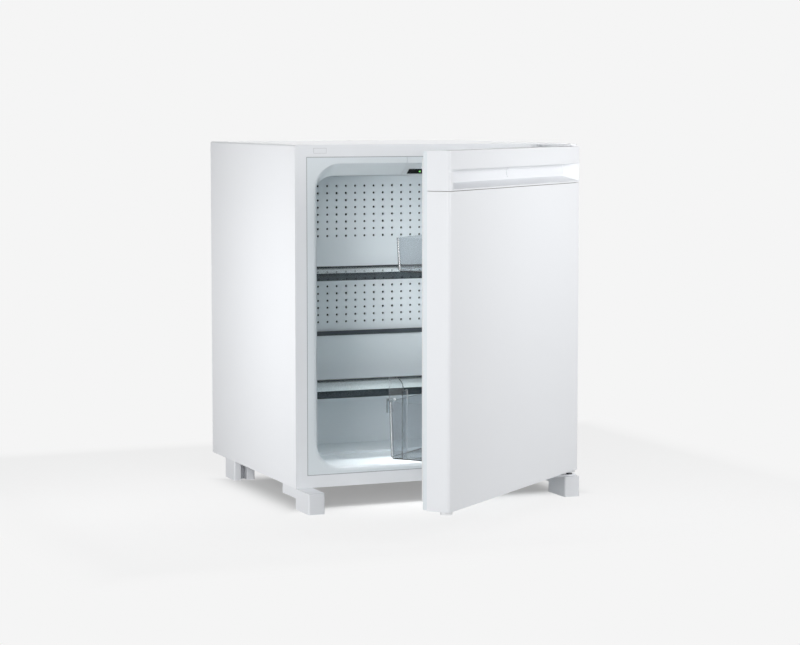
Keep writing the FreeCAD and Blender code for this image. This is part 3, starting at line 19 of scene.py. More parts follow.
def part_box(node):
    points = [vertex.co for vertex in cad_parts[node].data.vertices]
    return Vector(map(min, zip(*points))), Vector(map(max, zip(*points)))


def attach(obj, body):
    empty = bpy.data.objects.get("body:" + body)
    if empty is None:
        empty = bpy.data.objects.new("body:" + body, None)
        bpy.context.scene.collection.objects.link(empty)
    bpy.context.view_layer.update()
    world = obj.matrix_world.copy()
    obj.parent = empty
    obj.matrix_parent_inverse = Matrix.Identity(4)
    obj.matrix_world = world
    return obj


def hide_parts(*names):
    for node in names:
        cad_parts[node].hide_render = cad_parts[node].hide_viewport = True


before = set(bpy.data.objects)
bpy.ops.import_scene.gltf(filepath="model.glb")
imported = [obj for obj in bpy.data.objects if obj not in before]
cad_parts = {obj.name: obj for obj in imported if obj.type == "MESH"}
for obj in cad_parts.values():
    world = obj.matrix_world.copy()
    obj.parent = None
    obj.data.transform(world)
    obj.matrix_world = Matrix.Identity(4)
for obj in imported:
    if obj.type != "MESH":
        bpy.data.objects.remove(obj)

LOG = logging.getLogger("minibar")
MM = 0.001
Colour = tuple[float, float, float]
Place = tuple[float, float, float]

# Colour of settled dust, and how much rougher it makes a surface.
DUST_COLOUR: Colour = (0.42, 0.4, 0.37)
DUST_ROUGHNESS = 0.4
# Share of a finish's tone shift that goes to its paler side.
PALE_SHARE = 0.6
# Points of a piece that are nearer than this, in metres, become one.
SAME_POINT = 1e-6


class Body(Enum):
    """The rigid bodies that the added pieces ride on."""

    CABINET = "cabinet"
    DOOR = "door"


class Texture(Enum):
    """The kinds of fine surface that a finish can have."""

    PEEL = "powder_peel"
    GRAIN = "moulded_grain"
    SPANGLE = "zinc_spangle"
    BRUSHED = "brushed_lines"
    FOAM = "foam_cells"


@dataclass(frozen=True)
class Frame:
    """Main places of the cabinet and door, in metres."""

    half: float = 243 * MM
    front: float = -160 * MM
    unit_front: float = 164.8 * MM
    hinge_x: float = 231 * MM
    hinge_y: float = -203 * MM
    swing: float = math.radians(39.7)
    door_back: float = -168 * MM
    door_low: float = 44 * MM
    door_high: float = 587.5 * MM

    def door_turn(self) -> Matrix:
        """The matrix that takes a piece from the shut door to the door at rest."""
        axis = Matrix.Translation((self.hinge_x, self.hinge_y, 0))
        return axis @ Matrix.Rotation(self.swing, 4, "Z") @ axis.inverted()


FRAME = Frame()


def rgba(colour: Sequence[float]) -> tuple[float, float, float, float]:
    """A colour with full opacity."""
    return (colour[0], colour[1], colour[2], 1.0)


def grey(level: float) -> tuple[float, float, float, float]:
    """A neutral colour with full opacity."""
    return rgba((level, level, level))


def polar(radius: float, angle: float) -> tuple[float, float]:
    """The point at a radius and an angle in radians."""
    return radius * math.cos(angle), radius * math.sin(angle)


def add_object(name: str, data: bpy.types.ID) -> bpy.types.Object:
    """Make an object of a mesh, a light or a camera and link it into the scene.

    Args:
        name: The object's name.
        data: The mesh, light or camera.

    Returns:
        The new object.
    """
    made = bpy.data.objects.new(name, data)
    bpy.context.scene.collection.objects.link(made)
    return made


@contextmanager
def edited(mesh: bpy.types.Mesh) -> Iterator[bmesh.types.BMesh]:
    """Open a mesh for editing, and write it back at the end.

    Args:
        mesh: The mesh.

    Yields:
        The open mesh.
    """
    work = bmesh.new()
    work.from_mesh(mesh)
    yield work
    work.to_mesh(mesh)
    work.free()


class Graph:
    """A short way to write the nodes and links of one tree."""

    def __init__(self, tree: bpy.types.NodeTree, keep: bool = False) -> None:
        """Take over a tree.

        Args:
            tree: The node tree to write into.
            keep: Whether the nodes that it has stay.
        """
        self.tree = tree
        if not keep:
            tree.nodes.clear()

    def add(self, kind: str, settings: dict | None = None, **inputs: object) -> bpy.types.Node:
        """Add one node.

        Args:
            kind: The node's type name.
            settings: Properties of the node itself.
            **inputs: Values or sockets for its inputs, spaces in names written as underscores.

        Returns:
            The new node.
        """
        node = self.tree.nodes.new(kind)
        for name, value in (settings or {}).items():
            setattr(node, name, value)
        for name, value in inputs.items():
            self.feed(node, name.replace("_", " "), value)
        return node

    def feed(self, node: bpy.types.Node, key: str | int, value: object) -> None:
        """Link a socket to an input, or set the input's own value.

        Args:
            node: The node that has the input.
            key: The input's name or number.
            value: A socket or a plain value.
        """
        target = node.inputs[key]
        if isinstance(value, bpy.types.NodeSocket):
            self.tree.links.new(value, target)
        else:
            target.default_value = value

    def maths(self, operation: str, *values: object) -> bpy.types.NodeSocket:
        """Add a Math node and return its output.

        Args:
            operation: The name of the operation.
            *values: Numbers or sockets.

        Returns:
            The node's output socket.
        """
        node = self.add("ShaderNodeMath", {"operation": operation})
        for index, value in enumerate(values):
            self.feed(node, index, value)
        return node.outputs[0]

    def blend(self, share: object, first: object, second: object) -> bpy.types.NodeSocket:
        """Mix two colours.

        Args:
            share: The share of the second colour.
            first: The first colour.
            second: The second colour.

        Returns:
            The mixed colour's socket.
        """
        node = self.add("ShaderNodeMix", {"data_type": "RGBA"})
        self.feed(node, 0, share)
        self.feed(node, 6, first)
        self.feed(node, 7, second)
        return node.outputs[2]

    def mix(self, share: object, first: bpy.types.Node, second: bpy.types.Node,
            ) -> bpy.types.NodeSocket:
        """Mix two shaders.

        Args:
            share: The share of the second shader.
            first: The first shader.
            second: The second shader.

        Returns:
            The mixed shader's socket.
        """
        node = self.add("ShaderNodeMixShader")
        for index, value in enumerate((share, first.outputs[0], second.outputs[0])):
            self.feed(node, index, value)
        return node.outputs[0]

    def remap(self, value: object, span: tuple[float, float],
              to: tuple[float, float] = (0.0, 1.0)) -> bpy.types.NodeSocket:
        """Map a range of values to another one, held at both ends.

        Args:
            value: The socket to map.
            span: The two ends of the values in.
            to: The values out at these ends.

        Returns:
            The mapped value's socket.
        """
        node = self.add("ShaderNodeMapRange", {"interpolation_type": "SMOOTHSTEP"})
        for index, item in enumerate((value, *span, *to)):
            self.feed(node, index, item)
        return node.outputs[0]


class EffectGroups:
    """Shader groups that several finishes share, each built once."""

    def __init__(self) -> None:
        """Start with no group built."""
        self.built: dict[str, bpy.types.NodeTree] = {}

    def get(self, name: str, factor: str, outputs: Sequence[str],
            maker: Callable[..., tuple]) -> bpy.types.NodeTree:
        """A group that takes coordinates and one number, built at its first use.

        Args:
            name: The group's name.
            factor: The name of the number's socket.
            outputs: Names of the values that it gives.
            maker: What adds its nodes and returns these values.

        Returns:
            The group.
        """
        if name in self.built:
            return self.built[name]
        tree = bpy.data.node_groups.new(name, "ShaderNodeTree")
        tree.interface.new_socket("Vector", in_out="INPUT", socket_type="NodeSocketVector")
        tree.interface.new_socket(factor, in_out="INPUT", socket_type="NodeSocketFloat")
        for output in outputs:
            tree.interface.new_socket(output, in_out="OUTPUT", socket_type="NodeSocketFloat")
        graph = Graph(tree)
        start, end = graph.add("NodeGroupInput"), graph.add("NodeGroupOutput")
        values = maker(graph, start.outputs["Vector"], start.outputs[factor])
        for output, value in zip(outputs, values):
            graph.feed(end, output, value)
        self.built[name] = tree
        return tree

    def texture(self, texture: Texture) -> bpy.types.NodeTree:
        """The group that makes one kind of fine surface.

        Args:
            texture: Which surface.

        Returns:
            A group with a Height and a Tone output, both from 0 to 1.
        """
        makers = {
            Texture.PEEL: self.peel,
            Texture.GRAIN: self.grain,
            Texture.SPANGLE: self.spangle,
            Texture.BRUSHED: self.brushed,
            Texture.FOAM: self.foam,
        }
        return self.get(texture.value, "Scale", ("Height", "Tone"), makers[texture])

    def dust(self) -> bpy.types.NodeTree:
        """The group that gives a Mask of dust, from 0 to 1."""
        return self.get("settled_dust", "Amount", ("Mask",), self.settle)

    def handling(self) -> bpy.types.NodeTree:
        """The group that gives Marks around 0, which only change the gloss."""
        return self.get("wipe_marks", "Amount", ("Marks",), self.wipe)

    def noise(self, graph: Graph, vector: object, scale: object, detail: float,
              roughness: float = 0.5) -> bpy.types.NodeSocket:
        """A noise value.

        Args:
            graph: The graph to write into.
            vector: Coordinates.
            scale: Size of the pattern.
            detail: How many finer layers.
            roughness: Weight of the finer layers.

        Returns:
            The noise value's socket.
        """
        node = graph.add("ShaderNodeTexNoise", Vector=vector, Scale=scale, Detail=detail,
                         Roughness=roughness)
        return node.outputs[0]

    def peel(self, graph: Graph, vector: object, scale: object) -> tuple[object, object]:
        """Soft orange peel of baked powder, with a slow drift of tone."""
        fine = self.noise(graph, vector, scale, detail=2.0)
        return fine, self.noise(graph, vector, scale=5.0, detail=2.0)

    def grain(self, graph: Graph, vector: object, scale: object) -> tuple[object, object]:
        """Eroded grain of a moulded surface."""
        fine = self.noise(graph, vector, scale, detail=6.0, roughness=0.65)
        coarse = self.noise(graph, vector, graph.maths("MULTIPLY", scale, 0.35), detail=3.0)
        height = graph.maths("MULTIPLY", fine, coarse)
        return height, self.noise(graph, vector, scale=9.0, detail=3.0)

    def spangle(self, graph: Graph, vector: object, scale: object) -> tuple[object, object]:
        """Crystals of a zinc coat."""
        cells = graph.add("ShaderNodeTexVoronoi", {"feature": "F1"}, Vector=vector, Scale=scale)
        edge = graph.add("ShaderNodeTexVoronoi", {"feature": "DISTANCE_TO_EDGE"}, Vector=vector,
                         Scale=scale)
        tone = graph.add("ShaderNodeSeparateColor", Color=cells.outputs["Color"])
        return graph.remap(edge.outputs["Distance"], (0.0, 0.08)), tone.outputs[0]

    def brushed(self, graph: Graph, vector: object, scale: object) -> tuple[object, object]:
        """Fine lines drawn along X."""
        stretch = graph.add("ShaderNodeMapping", Vector=vector, Scale=(0.02, 1.0, 1.0))
        lines = self.noise(graph, stretch.outputs[0], scale, detail=4.0, roughness=0.6)
        return lines, lines

    def foam(self, graph: Graph, vector: object, scale: object) -> tuple[object, object]:
        """Closed cells of rigid foam."""
        cells = graph.add("ShaderNodeTexVoronoi", Vector=vector, Scale=scale)
        return cells.outputs["Distance"], self.noise(graph, vector, scale=20.0, detail=4.0)

    def settle(self, graph: Graph, vector: object, amount: object) -> tuple[object]:
        """Clumps of dust on faces that look up."""
        normal = graph.add("ShaderNodeNewGeometry").outputs["Normal"]
        up = graph.add("ShaderNodeSeparateXYZ", Vector=normal).outputs["Z"]
        facing = graph.remap(up, (0.25, 0.95))
        clumps = self.noise(graph, vector, scale=60.0, detail=6.0, roughness=0.7)
        mask = graph.maths("MULTIPLY", facing, graph.remap(clumps, (0.3, 0.75), (0.35, 1.0)))
        return (graph.maths("MULTIPLY", mask, amount),)

    def wipe(self, graph: Graph, vector: object, amount: object) -> tuple[object]:
        """A faint upright cloud around 0, as a cloth leaves it."""
        stretch = graph.add("ShaderNodeMapping", Vector=vector, Scale=(7.0, 7.0, 2.2))
        cloud = self.noise(graph, stretch.outputs[0], scale=1.0, detail=5.0, roughness=0.6)
        centred = graph.maths("SUBTRACT", cloud, 0.5)
        return (graph.maths("MULTIPLY", centred, amount),)


EFFECTS = EffectGroups()


@dataclass(frozen=True)
class Finish:
    """An opaque finish."""

    name: str
    colour: Colour
    roughness: float
    texture: Texture = Texture.GRAIN
    scale: float = 900.0
    bump: float = 0.0
    depth: float = 0.00005
    tone_shift: float = 0.03
    marks: float = 0.06
    metallic: float = 0.0
    coat: float = 0.0
    coat_roughness: float = 0.1
    specular: float = 0.5
    dust: float = 0.0

    def material(self) -> bpy.types.Material:
        """Build the material, or return it where it is built already.

        Returns:
            The material.
        """
        if self.name in bpy.data.materials:
            return bpy.data.materials[self.name]
        made = bpy.data.materials.new(self.name)
        made.use_nodes = True
        graph = Graph(made.node_tree)
        shader = graph.add("ShaderNodeBsdfPrincipled")
        graph.add("ShaderNodeOutputMaterial", Surface=shader.outputs[0])
        vector = graph.add("ShaderNodeTexCoord").outputs["Object"]
        self.dress(graph, shader, vector)
        return made

    def dress(self, graph: Graph, shader: bpy.types.Node, vector: object) -> None:
        """Feed the shader.

        Args:
            graph: The material's graph.
            shader: The Principled shader.
            vector: Object coordinates.
        """
        surface = graph.add("ShaderNodeGroup", {"node_tree": EFFECTS.texture(self.texture)},
                            Vector=vector, Scale=self.scale)
        low = rgba([part * (1 - self.tone_shift) for part in self.colour])
        lift = 1 + self.tone_shift * PALE_SHARE
        high = rgba([min(1.0, part * lift) for part in self.colour])
        colour = graph.blend(surface.outputs["Tone"], low, high)
        marks = graph.add("ShaderNodeGroup", {"node_tree": EFFECTS.handling()},
                          Vector=vector, Amount=self.marks)
        roughness = graph.maths("ADD", marks.outputs["Marks"], self.roughness)
        if self.dust:
            dust = graph.add("ShaderNodeGroup", {"node_tree": EFFECTS.dust()},
                             Vector=vector, Amount=self.dust)
            mask = dust.outputs["Mask"]
            colour = graph.blend(mask, colour, rgba(DUST_COLOUR))
            duller = graph.maths("MULTIPLY", mask, DUST_ROUGHNESS)
            roughness = graph.maths("ADD", roughness, duller)
        values = {"Base Color": colour, "Roughness": roughness, "Metallic": self.metallic,
                  "Specular IOR Level": self.specular, "Coat Weight": self.coat,
                  "Coat Roughness": self.coat_roughness}
        for key, value in values.items():
            graph.feed(shader, key, value)
        if self.bump:
            bump = graph.add("ShaderNodeBump", Strength=self.bump, Distance=self.depth,
                             Height=surface.outputs["Height"])
            graph.feed(shader, "Normal", bump.outputs[0])


@dataclass(frozen=True)
class ClearFinish(Finish):
    """A clear plastic or glass that lets light through, also in its shadow.

    A long way through it, as along a wall seen edge on, soaks up light where it has a density.
    """

    ior: float = 1.49
    shade: Colour = (0.9, 0.93, 0.94)
    body: Colour = (0.5, 0.53, 0.55)
    density: float = 0.0

    def material(self) -> bpy.types.Material:
        """Build the clear material, with a shadow that isn't black.

        Returns:
            The material.
        """
        if self.name in bpy.data.materials:
            return bpy.data.materials[self.name]
        made = super().material()
        graph = Graph(made.node_tree, keep=True)
        shader = next(n for n in graph.tree.nodes if n.type == "BSDF_PRINCIPLED")
        out = next(n for n in graph.tree.nodes if n.type == "OUTPUT_MATERIAL")
        graph.feed(shader, "Transmission Weight", 1.0)
        graph.feed(shader, "IOR", self.ior)
        rays = graph.add("ShaderNodeLightPath")
        clear = graph.add("ShaderNodeBsdfTransparent", Color=rgba(self.shade))
        graph.feed(out, "Surface", graph.mix(rays.outputs["Is Shadow Ray"], shader, clear))
        if self.density:
            soak = graph.add("ShaderNodeVolumeAbsorption", Color=rgba(self.body),
                             Density=self.density)
            graph.feed(out, "Volume", soak.outputs[0])
        return made


@dataclass(frozen=True)
class ShadeBehindFinish(Finish):
    """A finish with painted shade, a near-black colour, on what lies behind a plane and below a
    height.
    """

    plane: float = 0.109
    top: float = 0.519
    # Painted shade on the liner's wall behind the perforated panel, not a foil.
    painted_shade: Colour = (0.03, 0.032, 0.035)

    def dress(self, graph: Graph, shader: bpy.types.Node, vector: object) -> None:
        """Feed the shader, and blend to the painted shade behind the plane."""
        super().dress(graph, shader, vector)
        place = graph.add("ShaderNodeSeparateXYZ", Vector=vector)
        behind = graph.maths("MULTIPLY",
                             graph.maths("GREATER_THAN", place.outputs["Y"], self.plane),
                             graph.maths("LESS_THAN", place.outputs["Z"], self.top))
        # Painted shade: the colour goes near black behind the plane and below the height.
        front = shader.inputs["Base Color"].links[0].from_socket
        graph.feed(shader, "Base Color", graph.blend(behind, front, rgba(self.painted_shade)))


@dataclass(frozen=True)
class LitFinish(Finish):
    """A finish that also glows."""

    glow: Colour = (1.0, 1.0, 1.0)
    strength: float = 1.0

    def dress(self, graph: Graph, shader: bpy.types.Node, vector: object) -> None:
        """Feed the shader and add the glow."""
        super().dress(graph, shader, vector)
        graph.feed(shader, "Emission Color", rgba(self.glow))
        graph.feed(shader, "Emission Strength", self.strength)


PAINT = Finish("white_powder_coat", (0.83, 0.845, 0.87), 0.42, Texture.PEEL, 520.0, 0.12,
               tone_shift=0.012, coat=0.15, coat_roughness=0.25)
LINER = Finish("white_liner_plastic", (0.74, 0.79, 0.82), 0.38, Texture.GRAIN, 700.0, 0.08,
               tone_shift=0.02)
# The inner liner, with painted shade on its wall behind the perforated panel.
TUB = ShadeBehindFinish("white_tub_plastic", (0.74, 0.79, 0.82), 0.38, Texture.GRAIN, 700.0, 0.08,
                   tone_shift=0.02)
MOULDED = Finish("white_moulded_plastic", (0.82, 0.835, 0.86), 0.5, Texture.GRAIN, 1100.0, 0.15,
                 tone_shift=0.015)
FOOT = Finish("white_foot_plastic", (0.76, 0.775, 0.8), 0.55, Texture.GRAIN, 1000.0, 0.2,
              tone_shift=0.02)
BUSH = Finish("bush_plastic", (0.68, 0.69, 0.7), 0.45, Texture.GRAIN, 1200.0, 0.1)
PIN = Finish("dark_turned_steel", (0.09, 0.09, 0.095), 0.35, Texture.BRUSHED, 900.0, 0.1,
             metallic=1.0, tone_shift=0.25)
ZINC = Finish("zinc_coated_steel", (0.55, 0.56, 0.58), 0.42, Texture.SPANGLE, 90.0, 0.06,
              metallic=1.0, tone_shift=0.16, dust=0.25)
BLACK = Finish("matt_black_tube", (0.018, 0.018, 0.02), 0.6, Texture.PEEL, 600.0, 0.25,
               tone_shift=0.1, dust=0.3)
# Near black, far darker than bare aluminium: painted shade on the fins seen through the
# perforated panel's holes.
ALUMINIUM = Finish("shade_darkened_aluminium", (0.06, 0.062, 0.065), 0.6, Texture.BRUSHED, 700.0, 0.1,
                   metallic=0.5, tone_shift=0.1)
RUBBER = Finish("gasket_rubber", (0.62, 0.64, 0.66), 0.62, Texture.GRAIN, 1500.0, 0.2)
SMOKED = ClearFinish("smoked_trim", (0.12, 0.135, 0.145), 0.03, Texture.GRAIN, 1400.0, 0.0,
                     tone_shift=0.04, marks=0.02, shade=(0.3, 0.33, 0.35))
STRIP = Finish("dark_strip", (0.03, 0.034, 0.038), 0.28, Texture.GRAIN, 1400.0, 0.08,
               tone_shift=0.1)
CHANNEL = Finish("grey_channel", (0.06, 0.07, 0.08), 0.4, Texture.GRAIN, 1400.0, 0.1)
FOAM = Finish("rigid_foam", (0.62, 0.59, 0.52), 0.9, Texture.FOAM, 700.0, 0.6, 0.0004,
              tone_shift=0.12)
WINDOW = Finish("black_window", (0.003, 0.004, 0.004), 0.08, Texture.GRAIN, 900.0, 0.0,
                specular=0.15)
BOARD = Finish("circuit_board", (0.02, 0.12, 0.05), 0.4, Texture.BRUSHED, 500.0, 0.2)
DARK = Finish("black_moulding", (0.02, 0.02, 0.02), 0.5, Texture.GRAIN, 1200.0, 0.2,
              tone_shift=0.1, dust=0.2)
# Colours of the painted shadow lines in the front's gaps: the liner's seam and round the slot
# cover.
SEAM = Finish("seam_shadow", (0.36, 0.38, 0.4), 0.7, Texture.GRAIN, 1200.0, 0.1)
SLOT = Finish("slot_shadow", (0.58, 0.59, 0.6), 0.7, Texture.GRAIN, 1200.0, 0.1)
BIN = ClearFinish("clear_bin_plastic", (0.85, 0.875, 0.895), 0.0, Texture.GRAIN, 800.0, 0.0,
                  tone_shift=0.01, marks=0.0, density=25.0)
GLASS = ClearFinish("shelf_glass", (0.82, 0.9, 0.9), 0.02, Texture.GRAIN, 800.0, 0.0,
                    tone_shift=0.01, marks=0.01, ior=1.5)
LENS = LitFinish("lamp_lens", (0.85, 0.86, 0.86), 0.3, Texture.GRAIN, 900.0, 0.1,
                 glow=(1.0, 0.97, 0.92), strength=0.25)
SIGNAL = LitFinish("green_signal", (0.1, 0.6, 0.1), 0.3, Texture.GRAIN, 900.0, 0.0,
                   glow=(0.35, 1.0, 0.2), strength=0.7)

NODE_FINISHES: dict[Finish, tuple[str, ...]] = {
    PAINT: ("outer_casing", "bottom_pan", "door_skin", "upper_hinge", "lower_hinge_bracket"),
    LINER: ("perforated_panel", "control_housing", "door_liner"),
    TUB: ("inner_liner",),
    MOULDED: ("handle_strip", "handle_strip_end", "door_end_cap", "lock_plug",
              "hinge_slot_cover", "power_button"),
    FOOT: ("front_left_foot", "front_right_foot", "rear_left_foot", "rear_right_foot"),
    BUSH: ("hinge_bush_lower", "hinge_bush_upper", "spare_hinge_plug"),
    PIN: ("lower_hinge_pin", "hinge_anchors"),
    ZINC: ("rear_panel", "rear_cross_rail", "unit_straps", "boiler_casing", "foot_screws",
           "hinge_screws", "heater_cartridge"),
    BLACK: ("absorber_coil", "absorber_vessel", "condenser_pipe", "condenser_fins",
            "evaporator_pipes"),
    ALUMINIUM: ("evaporator_fins",),
    RUBBER: ("door_gasket",),
    SMOKED: ("upper_shelf_trim", "lower_shelf_trim"),
    STRIP: ("upper_shelf_rear_strip", "lower_shelf_rear_strip"),
    CHANNEL: ("drip_channel",),
    FOAM: ("insulation", "door_insulation"),
    WINDOW: ("control_window",),
    BOARD: ("control_board",),
    DARK: ("drain_tube", "drip_tray", "terminal_box", "power_inlet", "heater_lead"),
    BIN: ("upper_bin", "lower_bin", "bottle_stop"),
    GLASS: ("upper_shelf_glass", "lower_shelf_glass"),
    LENS: ("interior_lamp",),
    SIGNAL: ("status_led",),
}


class Workshop:
    """Ways to turn points and faces into finished pieces."""

    @staticmethod
    def piece(name: str, points: Sequence[Place], faces: Sequence[Sequence[int]],
              finish: Finish, turn: Matrix | None = None) -> bpy.types.Object:
        """Make a mesh piece whose object sits at the origin.

        Args:
            name: The piece's name.
            points: Its vertices, in metres.
            faces: Its faces, as vertex numbers.
            finish: Its finish.
            turn: A matrix to apply to the mesh.

        Returns:
            The new object.
        """
        mesh = bpy.data.meshes.new(name)
        mesh.from_pydata(points, [], faces)
        if turn is not None:
            mesh.transform(turn)
        with edited(mesh) as work:
            bmesh.ops.remove_doubles(work, verts=work.verts, dist=SAME_POINT)
            bmesh.ops.recalc_face_normals(work, faces=work.faces)
        mesh.materials.append(finish.material())
        return add_object(name, mesh)

    @staticmethod
    def smooth(piece: bpy.types.Object, angle: float = 35.0) -> None:
        """Shade a piece smooth, with edges sharper than an angle kept.

        Args:
            piece: The piece.
            angle: The angle in degrees.
        """
        with edited(piece.data) as work:
            for face in work.faces:
                face.smooth = True
            for edge in work.edges:
                if len(edge.link_faces) == 2:
                    edge.smooth = edge.calc_face_angle() < math.radians(angle)

    @staticmethod
    def lathe(profile: Sequence[tuple[float, float]], steps: int = 24,
              ) -> tuple[list[Place], list[list[int]]]:
        """Turn a profile of radius and height about Z.

        Args:
            profile: Pairs of radius and height, from one end to the other, in metres.
            steps: How many faces go round.

        Returns:
            Points and faces.
        """
        points: list[Place] = []
        faces: list[list[int]] = []
        rings: list[list[int]] = []
        for radius, height in profile:
            if radius == 0:
                rings.append([len(points)])
                points.append((0.0, 0.0, height))
                continue
            rings.append(list(range(len(points), len(points) + steps)))
            for step in range(steps):
                points.append((*polar(radius, 2 * math.pi * step / steps), height))
        for lower, upper in zip(rings, rings[1:]):
            for step in range(steps):
                following = (step + 1) % steps
                if len(lower) == 1:
                    faces.append([lower[0], upper[following], upper[step]])
                elif len(upper) == 1:
                    faces.append([lower[step], lower[following], upper[0]])
                else:
                    faces.append([lower[step], lower[following], upper[following], upper[step]])
        return points, faces

    @staticmethod
    def net(rings: int, count: int, closed: bool = True) -> list[tuple[int, ...]]:
        """Four-sided faces between rings of points.

        Args:
            rings: How many rings there are.
            count: How many points each of them has.
            closed: Whether the last ring joins the first.

        Returns:
            Faces, as point numbers.
        """
        faces: list[tuple[int, ...]] = []
        for ring in range(rings if closed else rings - 1):
            lower, upper = ring * count, (ring + 1) % rings * count
            for index in range(count):
                after = (index + 1) % count
                faces.append((lower + index, lower + after, upper + after, upper + index))
        return faces

    @staticmethod
    def mitred_ring(profile: Sequence[tuple[float, float]], half_width: float, low: float,
                    high: float, depth: float) -> tuple[list[Place], list[tuple[int, ...]]]:
        """Run a closed profile round an upright rectangle with mitred corners.

        Args:
            profile: Pairs of outward offset and depth behind the plane, in metres.
            half_width: Half of the rectangle's width.
            low: Its lower edge.
            high: Its upper edge.
            depth: The plane's Y.

        Returns:
            Points and faces.
        """
        corners = ((-1, -1), (1, -1), (1, 1), (-1, 1))
        points: list[Place] = []
        for side, end in corners:
            for offset, behind in profile:
                edge = low - offset if end < 0 else high + offset
                points.append((side * (half_width + offset), depth + behind, edge))
        return points, Workshop.net(len(corners), len(profile))


@dataclass
class Repeater:
    """A tree that sets one small piece on every point of a mesh, turned to the point's aim."""

    name: str
    tree: bpy.types.NodeTree = field(init=False)
    keys: dict[str, str] = field(init=False)

    def __post_init__(self) -> None:
        """Build the tree."""
        self.tree = bpy.data.node_groups.new(self.name, "GeometryNodeTree")
        sockets = (
            ("Geometry", "NodeSocketGeometry"),
            ("Small Piece", "NodeSocketObject"),
            ("Finish", "NodeSocketMaterial"),
        )
        self.keys = {}
        for socket, kind in sockets:
            made = self.tree.interface.new_socket(socket, in_out="INPUT", socket_type=kind)
            self.keys[socket] = made.identifier
        self.tree.interface.new_socket("Geometry", in_out="OUTPUT",
                                       socket_type="NodeSocketGeometry")
        graph = Graph(self.tree)
        start = graph.add("NodeGroupInput")
        aim = graph.add("GeometryNodeInputNamedAttribute", {"data_type": "FLOAT_VECTOR"},
                        Name="aim")
        turn = graph.add("FunctionNodeAlignRotationToVector", {"axis": "Z"},
                         Vector=aim.outputs[0])
        source = graph.add("GeometryNodeObjectInfo", {"transform_space": "ORIGINAL"},
                           Object=start.outputs["Small Piece"])
        spread = graph.add(
            "GeometryNodeInstanceOnPoints", Points=start.outputs["Geometry"],
            Instance=source.outputs["Geometry"], Rotation=turn.outputs[0],
        )
        solid = graph.add("GeometryNodeRealizeInstances", Geometry=spread.outputs[0])
        dressed = graph.add("GeometryNodeSetMaterial", Geometry=solid.outputs[0],
                            Material=start.outputs["Finish"])
        graph.add("NodeGroupOutput", Geometry=dressed.outputs[0])

    def spread(self, name: str, small: bpy.types.Object, spots: Sequence[tuple[Place, Place]],
               finish: Finish) -> bpy.types.Object:
        """Set the small piece on each spot and return one plain mesh.

        Args:
            name: The new piece's name.
            small: The piece to repeat, which is removed after this call.
            spots: Pairs of place and aim.
            finish: The finish of the result.

        Returns:
            The new object.
        """
        points = bpy.data.meshes.new(name + "_points")
        points.from_pydata([spot for spot, _ in spots], [], [])
        aims = points.attributes.new("aim", "FLOAT_VECTOR", "POINT")
        for index, (_, aim) in enumerate(spots):
            aims.data[index].vector = aim
        holder = add_object(name + "_holder", points)
        modifier = holder.modifiers.new("spread", "NODES")
        modifier.node_group = self.tree
        modifier[self.keys["Small Piece"]] = small
        modifier[self.keys["Finish"]] = finish.material()
        bpy.context.view_layer.update()
        graph = bpy.context.evaluated_depsgraph_get()
        mesh = bpy.data.meshes.new_from_object(holder.evaluated_get(graph))
        mesh.name = name
        bpy.data.objects.remove(holder)
        bpy.data.objects.remove(small)
        return add_object(name, mesh)


@dataclass
class Assembly:
    """A group of pieces that belong together."""

    pieces: list[tuple[bpy.types.Object, Body, tuple[str, ...]]] = field(default_factory=list)

    def keep(self, piece: bpy.types.Object, body: Body, slot: str, *replaced: str) -> None:
        """Let a piece ride on a body, and hide the nodes that it stands for.

        Args:
            piece: The piece.
            body: What it rides on.
            slot: Not used.
            *replaced: Names of nodes that it replaces.
        """
        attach(piece, body.value)
        if replaced:
            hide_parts(*replaced)
        self.pieces.append((piece, body, replaced))

    def report(self) -> None:
        """Log each piece with its body."""
        for piece, body, replaced in self.pieces:
            LOG.info("%s on %s, for %s", piece.name, body.value, ", ".join(replaced) or "none")


